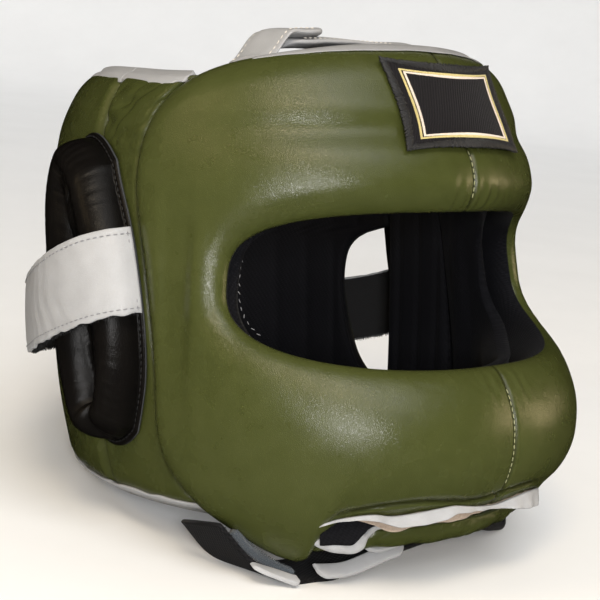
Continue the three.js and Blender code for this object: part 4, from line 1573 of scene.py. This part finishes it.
@dataclass
class CrownStraps(Assembly):
    """White leather straps across the open crown, one lapped on the other."""

    y: float = -34.0
    half: float = 13.0
    wall: float = 3.6
    top: float = 226.8
    span: float = 79.0
    fall: float = 5.6
    power: float = 3.0
    lap: float = 4.2
    lap_fade: float = 52.0
    shoulder: float = 0.74
    section_power: float = 2.6
    sway: float = 0.3
    sway_size: float = 22.0
    unsewn: float = 9.0
    tuck: float = 9.0
    tuck_from: Pair = (50.0, 66.0)
    stations: int = 90
    around: int = 44
    ends: tuple[tuple[str, float, float, float], ...] = (
        ("crown_strap_right", -66.0, -30.0, 1.0),
        ("crown_strap_left", 66.0, -52.0, 0.0),
    )

    def low(self, x: Array, lifted: float) -> Array:
        """Height of a strap's underside across the head."""
        base = self.top - self.fall * (np.abs(x) / self.span) ** self.power
        base = base - self.tuck * ease(self.tuck_from, np.abs(x))
        return base + lifted * self.lap * (1 - ease((self.lap_fade, self.span), np.abs(x)))

    def place(self, x: Array, lifted: float, across: Array, over: Array) -> Array:
        """Points at a place across the head, a place over the strap's width and a height on it."""
        return np.stack([x, self.y + across, self.low(x, lifted) + self.wall / 2 + over], -1)

    def build(self, shop: Workshop) -> None:
        """Makes the two straps, each with a round free end."""
        over, across = rounded_section(self.wall / 2, self.half, self.section_power, self.around)
        for name, start, end, lifted in self.ends:
            x = lerp(start, end, np.linspace(0, 1, self.stations))
            left = np.abs(x - end)
            taper = rolled(left + 1.2, np.full_like(left, self.half * 0.8))
            grid_x, grid_across = np.meshgrid(x, across, indexing="ij")
            grid_over = np.broadcast_to(over, grid_x.shape)
            grid_across = grid_across * taper[:, None]
            swell = sewn_relief(grid_across, self.half) * np.sign(grid_over)
            points = self.place(grid_x, lifted, grid_across, grid_over + swell)
            points[..., 2] += self.sway * ripple(points, self.sway_size, 21)
            uv = np.stack([grid_x, grid_across], -1) * MM
            shop.cut(name, loft_skin(points, uv), [Finish.WHITE], Slot.WHITE)

    def dress(self, shop: Workshop) -> None:
        """Sews both edges of each strap."""
        rows = []
        for _, start, end, lifted in self.ends:
            x = lerp(start, end + math.copysign(self.unsewn, start), np.linspace(0.02, 1, 120))
            for side in (-1, 1):
                across = np.full_like(x, side * (self.half - STITCH_INSET))
                rows.append(self.place(x, lifted, across, np.full_like(x, self.wall / 2 * self.shoulder)))
        shop.sew("crown_strap_thread", rows, ThreadRow(2.9, 2.1, 0.5), Finish.WHITE_THREAD)


@dataclass
class Bindings(Assembly):
    """White leather bindings, folded over the rims and hems."""

    wall: float = 1.5
    clear: float = 0.4
    rim_skirt: float = 4.6
    hem_skirt: float = 3.4
    front_skirt: float = 1.2
    front_fade: float = 0.28
    fold_steps: int = 9
    uneven: float = 0.12
    uneven_size: float = 16.0
    rim_turns: Pair = (54.0, 126.0)
    side_rim: Pair = (0.1, 1.0)
    side_hem: Pair = (0.03, 1.0)
    rear_bound: Pair = (0.0, 1.0)

    def fold(self, angle: Array, radius: Array, z: Array, half: float, roll: float, skirt: float, up: int,
             seed: int, fade: float = 0.0) -> Skin:
        """Tape folded over a rolled edge, as a closed strip.

        Args:
            angle: Angles of the edge's stations.
            radius: Radii of the middle of the wall there.
            z: Heights of the edge.
            half: Half of the full wall.
            roll: Depth over which the wall rolls to nothing at the edge.
            skirt: How far the tape reaches down the wall.
            up: 1 on a rim, -1 on a hem.
            seed: Seed of its unevenness.
            fade: Share of its length over which each end thins out.

        Returns:
            The skin of the tape.
        """
        share = np.linspace(0, 1, self.fold_steps) ** 2
        middle = spot(angle, radius, z)
        uneven = 1 + self.uneven * ripple(middle, self.uneven_size, seed)
        down = skirt * share * uneven[:, None]
        inside = half * rolled(down, roll) + self.clear
        place = np.linspace(0, 1, len(angle))[:, None]
        wall = np.full_like(place, self.wall)
        if fade:
            wall = wall * ease((-0.02, fade), np.minimum(place, 1 - place))
        outside = inside + wall
        crest = np.full((len(angle), 1), self.clear)
        offset = [outside[:, ::-1], 0 * crest, -outside, -inside[:, ::-1], 0 * crest, inside]
        rise = [-down[:, ::-1], crest + wall, -down, -down[:, ::-1], crest, -down]
        offset, rise = np.concatenate(offset, 1), np.concatenate(rise, 1)
        return loft_skin(spot(angle[:, None], radius[:, None] + offset, z[:, None] + up * rise))

    def panel_fold(self, edges: Field, hand: int, top: bool, stretch: Pair, count: int,
                   seed: int) -> Skin:
        """Tape along a panel's top or bottom edge."""
        u = np.linspace(*stretch, count)
        angle, z, _ = BackPanels.place(edges, u, np.full_like(u, 1.0 if top else 0.0))
        radius = rear_radius(angle, z) - PANEL_WALL / 2
        skirt = self.rim_skirt if top else self.hem_skirt
        return self.fold(hand * angle, radius, z, PANEL_WALL / 2, PANEL_ROLL, skirt, 1 if top else -1, seed)

    def build(self, shop: Workshop) -> None:
        """Makes the bindings of the front rim, the panels' rims and their hems."""
        angle, z = shell_outline(np.radians(np.linspace(*self.rim_turns, 200)))
        half = SHELL_WALL / 2
        radius = face_radius(angle, z) - half
        front = self.fold(angle, radius, z, half, ROLL_RIM, self.front_skirt, 1, 51, self.front_fade)
        shop.cut("rim_binding_front", front, [Finish.WHITE], Slot.WHITE)
        jobs = [("rear_rim_binding", BackPanels.rear_edges, 1, True, self.rear_bound, 360),
                ("nape_binding", BackPanels.rear_edges, 1, False, self.rear_bound, 360)]
        for hand, side in HANDS:
            for edge, top, stretch in (("rim", True, self.side_rim), ("hem", False, self.side_hem)):
                name = f"side_{edge}_binding_{side}"
                jobs.append((name, BackPanels.side_edges, hand, top, stretch, 80))
        for seed, (name, edges, hand, top, stretch, count) in enumerate(jobs, 60):
            skin = self.panel_fold(edges, hand, top, stretch, count, seed)
            shop.cut(name, skin, [Finish.WHITE], Slot.WHITE)


CUP_ROWS = table(CupRow, (
    (0, 102, 98, 24, 34.6), (1, 101.8, 98.2, 19.2, 38.7), (2, 97.2, 94.8, 14.8, 42.4),
    (3, 89, 88, 13.6, 43), (4, 76, 78, 14.4, 41.6),
))
LIP_WAVES = table(LipWave, (
    (-41, 29.0, 28.4, 0.0, 28.4), (-39.5, 30.4, 29.4, 0.0, 29.4),
    (-34.5, 32.6, 31.1, 0.3, 31.0), (-29.5, 33.6, 31.0, 0.8, 29.0),
    (-26.4, 32.4, 28.9, 1.2, 25.8), (-24, 32.4, 27.7, 1.6, 25.6),
    (-21, 33.2, 28.1, 1.8, 27.4), (-15.5, 34.8, 29.6, 1.4, 28.6),
    (-12.5, 35.2, 31.6, 1.0, 28.2), (-7.9, 33.5, 31.0, 0.7, 28.6),
    (-5.6, 32.7, 30.7, 0.6, 29.0), (1.3, 31.3, 29.4, 0.5, 29.0),
    (6.3, 33.3, 28.0, 0.6, 27.8), (11, 34.2, 26.6, 0.5, 26.2),
    (18.8, 32.6, 25.2, 0.2, 24.6), (25.4, 29.8, 25.6, 0.0, 24.8),
    (32, 28.2, 26.4, 0.0, 26.0), (38, 26.0, 25.2, 0.0, 25.2),
))
RIM_ROLL = table(RollStop, (
    (-43.5, 23, 104, 3, 3), (-41, 22, 105, 7, 4), (-38, 20.4, 105.6, 8, 5),
    (-35, 19.4, 105.8, 7.6, 5), (-33, 20.4, 105.8, 10, 4.6), (-31.6, 20.8, 105.4, 9.6, 4.2),
    (-30.2, 20.6, 104.6, 6, 3.6), (-29, 23, 102.5, 4.4, 3.6), (-26, 25.4, 100.5, 3.4, 4),
    (0, 26.2, 100.5, 3.4, 4), (24, 25.2, 100.5, 3.4, 4), (33, 21.5, 102, 6, 4),
    (38, 20.5, 103, 7, 4.4), (41, 21.5, 103.5, 6, 4), (43.5, 23, 103.5, 3, 3),
))
cup_reach, cup_side, cup_z, cup_end = curves_of(CUP_ROWS)
lip_top, lip_low, lip_flare, lip_inner = curves_of(LIP_WAVES)
roll_curves = curves_of(RIM_ROLL)


@dataclass
class ChinSling(Assembly):
    """Leather sling under the bar, its lining, its bound rim and the bar's own lip."""

    wall: float = 4.5
    lining: float = 2.0
    lining_side: float = 0.04
    lining_rim: float = 0.06
    slope: float = 0.08
    length: float = 150.0
    depth: float = 50.0
    edge_roll: float = 3.0
    sway: float = 0.5
    sway_roll: float = 8.0
    cup_fill: float = 0.5
    lining_fill: float = 0.4
    columns: int = 150
    rows: int = 60
    roll_half: float = 43.5
    roll_stations: int = 260
    roll_around: int = 24
    lip_wall: float = 1.5
    lip_run: Pair = (-41.0, 38.0)
    lip_columns: int = 300
    lip_rows: int = 26
    lip_clear: float = 1.0
    suede_under: float = 2.2
    slit: Pair = (-40.5, -29.0)
    slit_low: float = 20.0
    slit_high: float = 28.0
    slit_turn: float = 34.0
    slit_under: float = 4.0
    slit_tuck: float = 6.0

    def place(self, u: Array, v: Array, side: float, under: float, wall: float) -> Array:
        """Points of the sling: u across the chin, v from its bound rim to its back edge."""
        row = v * (len(CUP_ROWS) - 1)
        angle = np.radians(cup_end(row)) * (2 * u - 1)
        radius = squared_radius(angle, cup_reach(row), cup_side(row), 2.0)
        down = cup_z(row + self.slope) - cup_z(row - self.slope)
        back = cup_reach(row - self.slope) - cup_reach(row + self.slope)
        length = np.hypot(down, back)
        edge = np.minimum(np.minimum(u, 1 - u) * self.length, np.minimum(v, 1 - v) * self.depth)
        lift = under - wall / 2 + side * wall / 2 * rolled(edge, self.edge_roll)
        points = spot(angle, radius, cup_z(row))
        if wall == self.wall:
            relief = ripple(points, 22.0, 71) + creases(points, 12.0, 72)
            lift = lift + self.sway * rolled(edge, self.sway_roll) * relief
        return spot(angle, radius - lift * down / length, cup_z(row) - lift * back / length)

    def sheet(self, under: float, wall: float, side_inset: float, rim_inset: float) -> Skin:
        """Pillow of the sling's leather or of its lining."""
        u, v = crowded_grid(self.columns, self.rows)
        u, v = lerp(side_inset, 1 - side_inset, u), lerp(rim_inset, 1.0, v)
        outer = self.place(u, v, 1, under, wall)
        inner = self.place(u, v, -1, under, wall)
        uv = np.stack([u * self.length, v * self.depth], -1) * MM
        return pillow_skin(outer, inner, uv)

    def lip(self, run: Pair, low: Field, wall: float, under: float) -> Skin:
        """Wavy strip that hangs in front of the bar's lower roll.

        Args:
            run: Angles in degrees where it starts and ends.
            low: Height of its lower edge, by angle in degrees.
            wall: Its thickness.
            under: How far it lies behind the outermost strip.

        Returns:
            The skin of the strip.
        """
        angle = np.radians(np.linspace(*run, self.lip_columns))
        a, v = np.meshgrid(angle, np.linspace(0, 1, self.lip_rows), indexing="ij")
        degrees = np.degrees(a)
        top = lip_top(degrees)
        half = face_wall(a, top) / 2
        base = face_radius(a, top) - half + half * rolled(top - bottom_z(np.abs(degrees)), ROLL_BAR)
        flare = lip_flare(degrees)
        radius = base + self.lip_clear - under + flare * v ** 1.6 + 0.4 * np.sin(a * 70) * v
        z = lerp(top, np.minimum(low(degrees), top - 0.4), v)
        column = np.arange(self.lip_columns)
        from_end = np.minimum(column, column[::-1])[:, None] * 0.5
        swell = wall / 2 * rolled(np.minimum(np.minimum(v, 1 - v) * 7, from_end), 0.8)
        return pillow_skin(spot(a, radius + swell, z), spot(a, radius - swell, z))

    def roll(self) -> Skin:
        """White bound rim of the sling, which sags into fat rolls at the corners of the mouth."""
        degrees = np.linspace(-self.roll_half, self.roll_half, self.roll_stations)
        z, radius, height, width = (curve(degrees)[:, None] for curve in roll_curves)
        turn = full_turn(self.roll_around)
        angle = np.radians(degrees)[:, None]
        folds = 1 + 0.12 * np.sin(degrees[:, None] * 1.9 + 2 * turn)
        out = width / 2 * np.cos(turn) * folds
        return loft_skin(spot(angle, radius + out, z + height / 2 * np.sin(turn)))

    def build(self, shop: Workshop) -> None:
        """Makes the sling, its lining, its rim and the lip of the bar."""
        cup = self.sheet(0.0, self.wall, 0.0, 0.0)
        shop.cut("chin_cup", cup, [Finish.OLIVE], Slot.OLIVE, self.cup_fill)
        lining = self.sheet(-self.wall - LINING_GAP, self.lining, self.lining_side, self.lining_rim)
        shop.cut("chin_lining", lining, [Finish.MESH], Slot.MESH, self.lining_fill)
        shop.cut("chin_cup_binding", self.roll(), [Finish.WHITE], Slot.WHITE)
        lip = self.lip(self.lip_run, lip_low, self.lip_wall, 0.0)
        shop.cut("bar_binding", lip, [Finish.WHITE], Slot.WHITE)
        suede = self.lip(self.lip_run, lip_inner, 1.0, self.suede_under)
        shop.add("bar_binding_suede", suede, Finish.SUEDE, Slot.WHITE)
        sides = (("right", 1, self.slit_under), ("left", -1, self.slit_under + self.slit_tuck))
        for side, hand, under in sides:
            run = (hand * self.slit[0], hand * self.slit[1])
            slit = self.lip(run, self.slit_edge, 1.0, under)
            slit.uv = FaceShell.lay(slit)
            shop.add(f"chin_lining_slit_{side}", slit, Finish.MESH, Slot.MESH)

    def slit_edge(self, degrees: Array) -> Array:
        """Height of the lower edge of the mesh behind the corners of the mouth."""
        return lerp(self.slit_low, self.slit_high, ease((self.slit_turn, -self.slit[1]), np.abs(degrees)))


CHIN_ROUTE = table(ChinStop, (
    (98, -35, 25, 0, -15), (85.5, -40.5, 9, 4, -11), (74, -50, 2.8, 8, 0),
    (54, -58, 1.0, 4, 0), (28, -64, 7.2, 2, 0), (0, -66, 10.4, 0, 0),
))
*_, chin_heading, chin_tilt = curves_of(CHIN_ROUTE[::-1])


@dataclass
class ChinStrap(Assembly):
    """Black webbing under the chin, with its loop tape and white tabs."""

    half: float = 13.0
    wall: float = 2.4
    tape: float = 4.0
    tape_run: Pair = (0.03, 0.165)
    tab_wall: float = 1.6
    tab_ahead: float = 6.0
    tab_clear: float = 0.4
    tab_round: float = 6.0
    tab_lift: float = 2.6
    tab_drop: float = 4.4
    slack: float = 6.0
    slack_at: Pair = (41.0, 22.0)
    thread_lift: float = 0.05
    thread_inset: float = 1.5
    nearer: float = 3.6
    nearer_fade: Pair = (0.15, 0.24)
    tabs: tuple[tuple[str, float, float, float, float], ...] = (
        ("chin_tab_right", 0.085, 0.168, 0.2, 3.2),
        ("chin_tab_middle", 0.207, 0.415, 2.2, 6.4),
    )
    leaf: tuple[float, float, float, float] = (0.33, 0.415, 6.6, 9.6)
    sewn: tuple[float, ...] = (0.012, 0.03, 0.048, 0.952, 0.97, 0.988)
    stations: int = 300
    around: int = 40
    route: Route = field(init=False)

    def __post_init__(self) -> None:
        """Lays the route from the right jaw under the chin to the left jaw."""
        right = [(-stop.x, stop.y, stop.z) for stop in CHIN_ROUTE]
        left = [
            (stop.x, stop.y, stop.z + self.slack * bump(stop.x, *self.slack_at)) for stop in CHIN_ROUTE[:-1]
        ]
        self.route = Route(np.array([*right, *left[::-1]], float))

    def place(self, share: Array, across: Array, over: Array) -> Array:
        """Points at a share of the route, from front to back and from under to over."""
        middle = self.route.at(share)
        along = self.route.way(share)
        x = middle[..., 0]
        heading = np.radians(chin_heading(np.abs(x))) * np.sign(x)
        tilt = np.radians(chin_tilt(np.abs(x)))
        width = np.stack([np.sin(heading), np.cos(heading), np.sin(tilt)], -1)
        width /= np.linalg.norm(width, axis=-1, keepdims=True)
        y, z = width[..., 1].copy(), width[..., 2].copy()
        width[..., 1] = y * math.cos(LEAN) - z * math.sin(LEAN)
        width[..., 2] = y * math.sin(LEAN) + z * math.cos(LEAN)
        up = np.cross(along, width)
        up /= np.linalg.norm(up, axis=-1, keepdims=True)
        ahead = np.asarray(across) - self.nearer * (1 - ease(self.nearer_fade, share))
        return middle + width * ahead[..., None] + up * np.asarray(over)[..., None]

    def band(self, run: Pair, front: float, back: float, low: float, high: float,
             stations: int, power: float) -> Skin:
        """Band of the strap between two shares of its route."""
        share = np.linspace(*run, stations)
        over, across = rounded_section((high - low) / 2, (back - front) / 2, power, self.around)
        s, grid_across = np.meshgrid(share, across + (front + back) / 2, indexing="ij")
        grid_over = np.broadcast_to(over + (low + high) / 2, s.shape)
        uv = np.stack([s * self.route.length, grid_across], -1) * MM
        return loft_skin(self.place(s, grid_across, grid_over), uv)

    def tab(self, run: Pair, foot: float, rise: float) -> Skin:
        """White leather tab that stands along the strap's front edge, its lower corners round.

        Args:
            run: Shares of the route where it starts and ends.
            foot: Height of its lower edge over the strap's underside.
            rise: Height of its upper edge.

        Returns:
            The skin of the tab.
        """
        along, across = np.meshgrid(np.linspace(0, 1, 90), np.linspace(0, 1, 26), indexing="ij")
        length = (run[1] - run[0]) * self.route.length
        from_end = np.minimum(along, 1 - along) * length
        ends = rolled(from_end + 0.5, self.tab_round)
        from_foot = 1 - (1 - across) * ends
        front = lerp(-self.half - self.tab_ahead, -self.half - self.tab_clear, from_foot)
        bend = self.tab_lift if foot > 1 else -self.tab_drop
        over = lerp(foot, rise, from_foot) + self.tab_wall / 2 + bend * (1 - along) ** 2
        edge = np.minimum(from_end, np.minimum(across, 1 - across) * 9)
        thick = self.tab_wall / 2 * rolled(edge, 1.0)
        swell = thick + 0.5 * rolled(edge, 5.0)
        share = lerp(run[0], run[1], along)
        return pillow_skin(
            self.place(share, front - 0.5 * swell, over + swell), self.place(share, front, over - thick)
        )

    def build(self, shop: Workshop) -> None:
        """Makes the webbing, the loop tape and the tabs."""
        web = self.band((0, 1), -self.half, self.half, 0, self.wall, self.stations, 5.0)
        shop.cut("chin_strap", web, [Finish.WEBBING], Slot.WEBBING)
        low = self.wall + GAP
        tape = self.band(self.tape_run, -self.half, self.tape - self.half, low, low + self.tape, 120, 2.2)
        shop.cut("chin_strap_tape", tape, [Finish.TAPE], Slot.TAPE)
        for name, start, end, foot, rise in self.tabs:
            shop.cut(name, self.tab((start, end), foot, rise), [Finish.WHITE], Slot.WHITE)
        leaf = self.tab(self.leaf[:2], *self.leaf[2:])
        shop.add("chin_tab_middle_leaf", leaf, Finish.WHITE, Slot.WHITE)

    def dress(self, shop: Workshop) -> None:
        """Sews the webbing's ends and raises the tape's loops."""
        reach = self.half - self.thread_inset
        across = np.linspace(-reach, reach, 60)
        over = np.full_like(across, self.wall + self.thread_lift)
        rows = [self.place(np.full_like(across, end), across, over) for end in self.sewn]
        shop.sew("chin_strap_thread", rows, ThreadRow(2.4, 1.9, 0.5), Finish.BLACK_THREAD)
        share = np.linspace(*self.tape_run, 200)
        loops = []
        ways = []
        low = self.wall + GAP
        for turn in np.linspace(0.1, 2 * np.pi, 12, endpoint=False):
            front = np.full_like(share, self.tape / 2 - self.half + np.cos(turn) * self.tape / 2)
            rise = np.full_like(share, low + self.tape / 2 + np.sin(turn) * self.tape / 2)
            path = self.place(share, front, rise)
            out = self.place(share, front + np.cos(turn), rise + np.sin(turn)) - path
            loops.append(path)
            ways.append(out)
        pile = ThreadRow(0.9, 1.6, 0.3, 0.8, 9)
        shop.sew("chin_strap_tape_pile", loops, pile, Finish.TAPE, ways)


@dataclass
class ForeheadPatch(Assembly):
    """Black twill patch with an overlocked border and a plain frame line."""

    bottom: float = 181.0
    top: float = 219.0
    half: float = 36.0
    pinch: float = 2.7
    wall: float = 1.6
    columns: int = 120
    rows: int = 70
    border: Triple = (0.975, 0.9, -0.2)
    side_steps: int = 160
    frame_lift: float = 0.1
    frames: tuple[tuple[str, float, float, int, Finish], ...] = (
        ("patch_frame_gold", 0.80, 0.70, 6, Finish.GOLD_THREAD),
        ("patch_frame_cream", 0.745, 0.65, 7, Finish.CREAM_THREAD),
    )

    def place(self, across: Array, up: Array, lift: Array) -> Array:
        """Points on the forehead at shares from -1 to 1 of the patch's outline, raised by a lift."""
        middle = (self.top + self.bottom) / 2
        z = middle + up * ((self.top - self.bottom) / 2 - self.pinch * (1 - across ** 2))
        x = across * (self.half - self.pinch * (1 - up ** 2))
        angle = np.arctan2(x, face_front(z))
        outer = face_radius(angle, z) + groove_depth(angle, z)
        return spot(angle, outer + lift, z)

    def outline(self, share: float, lift: float) -> Array:
        """Closed run round the patch at a share of its outline."""
        t = np.linspace(-1, 1, self.side_steps, endpoint=False)
        one = np.ones_like(t)
        across = np.concatenate([t, one, -t, -one])
        up = np.concatenate([-one, t, one, -t])
        across, up = np.append(across, across[0]), np.append(up, up[0])
        return self.place(share * across, share * up, np.full_like(across, lift))

    def build(self, shop: Workshop) -> None:
        """Makes the twill field."""
        u, v = (2 * share - 1 for share in crowded_grid(self.columns, self.rows))
        edge = np.minimum((1 - np.abs(u)) * self.half, (1 - np.abs(v)) * (self.top - self.bottom) / 2)
        high = GAP + self.wall * rolled(edge, 1.0)
        uv = np.stack([u * self.half, v * (self.top - self.bottom) / 2], -1) * MM
        skin = pillow_skin(self.place(u, v, high), self.place(u, v, np.full_like(u, GAP)), uv)
        shop.cut("forehead_patch", skin, [Finish.TWILL], Slot.TWILL)

    def dress(self, shop: Workshop) -> None:
        """Overlocks the border and sews the frame line."""
        face = GAP + self.wall
        share, toward, lift = self.border
        edge = self.outline(share, face + lift)
        across = self.outline(toward, face + lift) - edge
        border = ThreadRow(0.7, 4.8, 1.25, 0.14, 5)
        shop.sew("patch_border", [edge], border, Finish.BLACK_THREAD, [across])
        for name, share, toward, seed, finish in self.frames:
            line = self.outline(share, face + self.frame_lift)
            way = self.outline(toward, face + self.frame_lift) - line
            shop.sew(name, [line], ThreadRow(0.5, 1.5, 0.6, 0.1, seed), finish, [way])


@dataclass(frozen=True)
class SoftLight:
    """Square soft light aimed at the headgear."""

    name: str
    at: Triple
    size: float
    power: float
    colour: Colour

    def make(self, aim: Vector) -> None:
        """Adds the light to the scene."""
        data = bpy.data.lights.new(self.name, "AREA")
        data.size = self.size
        data.energy = self.power
        data.color = self.colour
        lamp = link(self.name, data)
        lamp.location = self.at
        lamp.rotation_euler = (aim - Vector(self.at)).to_track_quat("-Z", "Y").to_euler()


@dataclass
class Studio:
    """Pale floor that curves up all round, soft light and the camera at the photograph's angle."""

    floor_flat: float = 2.6
    floor_curve: float = 0.9
    floor_wall: float = 0.8
    floor_sides: int = 96
    curve_steps: int = 16
    aim: Triple = (0.0, 0.0, 0.11)
    camera_at: Triple = (-0.4756, -0.5048, 0.2336)
    camera_right: Triple = (0.7314, -0.6740, 0.1043)
    camera_ahead: Triple = (0.6794, 0.7067, -0.1976)
    lens: float = 88.2
    sensor: float = 36.0
    shift: Pair = (-8 / 600, 10 / 600)
    sky: Colour = (1.0, 0.985, 0.96)
    sky_strength: float = 0.37
    sun_from: Triple = (-0.25, -0.75, 1.1)
    sun_strength: float = 1.35
    sun_spread: float = math.radians(40)
    lights: tuple[SoftLight, ...] = (
        SoftLight("flash_light", (-0.60, -0.74, 0.31), 0.16, 5.4, (1.0, 0.99, 0.98)),
        SoftLight("lamp_above", (-0.66, -0.61, 1.05), 0.3, 4.4, (1.0, 0.80, 0.52)),
        SoftLight("lamp_side", (-1.07, 0.14, 0.84), 0.3, 1.9, (1.0, 0.74, 0.40)),
        SoftLight("warm_light", (1.5, -0.9, 0.35), 0.4, 5.4, (1.0, 0.76, 0.45)),
    )

    def build(self, wardrobe: Wardrobe) -> None:
        """Sets the floor, the lights, the sky and the camera.

        The sky and the floor light the leather but aren't mirrored in it, as in a dim room with a flash.
        """
        self.lay_floor(wardrobe)
        for light in self.lights:
            light.make(Vector(self.aim))
        data = bpy.data.lights.new("sun_light", "SUN")
        data.energy = self.sun_strength
        data.angle = self.sun_spread
        sun = link("sun_light", data)
        sun.rotation_euler = (-Vector(self.sun_from)).to_track_quat("-Z", "Y").to_euler()
        world = bpy.data.worlds.new("studio")
        world.use_nodes = True
        sky = world.node_tree.nodes["Background"]
        sky.inputs["Color"].default_value = opaque(self.sky)
        sky.inputs["Strength"].default_value = self.sky_strength
        world.cycles_visibility.glossy = False
        bpy.context.scene.world = world
        bpy.context.scene.view_settings.view_transform = "Standard"
        self.set_camera()

    def lay_floor(self, wardrobe: Wardrobe) -> None:
        """Makes the floor: a flat round that curves up into a low wall."""
        turn = full_turn(self.floor_sides)
        bend = np.linspace(0, np.pi / 2, self.curve_steps)
        reach = self.floor_flat + self.floor_curve * np.append(np.sin(bend), 1.0)
        rise = np.append(self.floor_curve * (1 - np.cos(bend)), self.floor_curve + self.floor_wall)
        height = np.repeat(rise[:, None], len(turn), 1)
        rings = np.stack([np.outer(reach, np.cos(turn)), np.outer(reach, np.sin(turn)), height], -1)
        faces = grid_quads(len(reach), len(turn), False, True).tolist()
        mesh = bpy.data.meshes.new("floor")
        mesh.from_pydata(rings.reshape(-1, 3).tolist(), [], [list(range(len(turn))), *faces])
        mesh.polygons.foreach_set("use_smooth", [True] * len(mesh.polygons))
        mesh.materials.append(wardrobe.get(Finish.FLOOR))
        floor = link("floor", mesh)
        floor.visible_glossy = False

    def set_camera(self) -> None:
        """Makes the camera from its place and its axes."""
        data = bpy.data.cameras.new("camera")
        data.lens = self.lens
        data.sensor_width = self.sensor
        data.shift_x, data.shift_y = self.shift
        camera = link("camera", data)
        ahead = Vector(self.camera_ahead).normalized()
        right = Vector(self.camera_right)
        right = (right - ahead * right.dot(ahead)).normalized()
        up = right.cross(ahead)
        turn = Matrix((right, up, -ahead)).transposed()
        camera.matrix_world = Matrix.Translation(Vector(self.camera_at)) @ turn.to_4x4()
        bpy.context.scene.camera = camera


def main() -> None:
    """Builds the studio and the headgear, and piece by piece."""
    logging.basicConfig(level=logging.INFO, format="%(name)s %(message)s")
    wardrobe = Wardrobe()
    Studio().build(wardrobe)
    shop = Workshop(wardrobe)
    assemblies = (
        FaceShell(), BackPanels(), EarPads(), RearStrap(), CrownStraps(), Bindings(), ChinSling(),
        ChinStrap(), ForeheadPatch(),
    )
    for assembly in assemblies:
        assembly.build(shop)
        assembly.dress(shop)


if __name__ == "__main__":
    main()
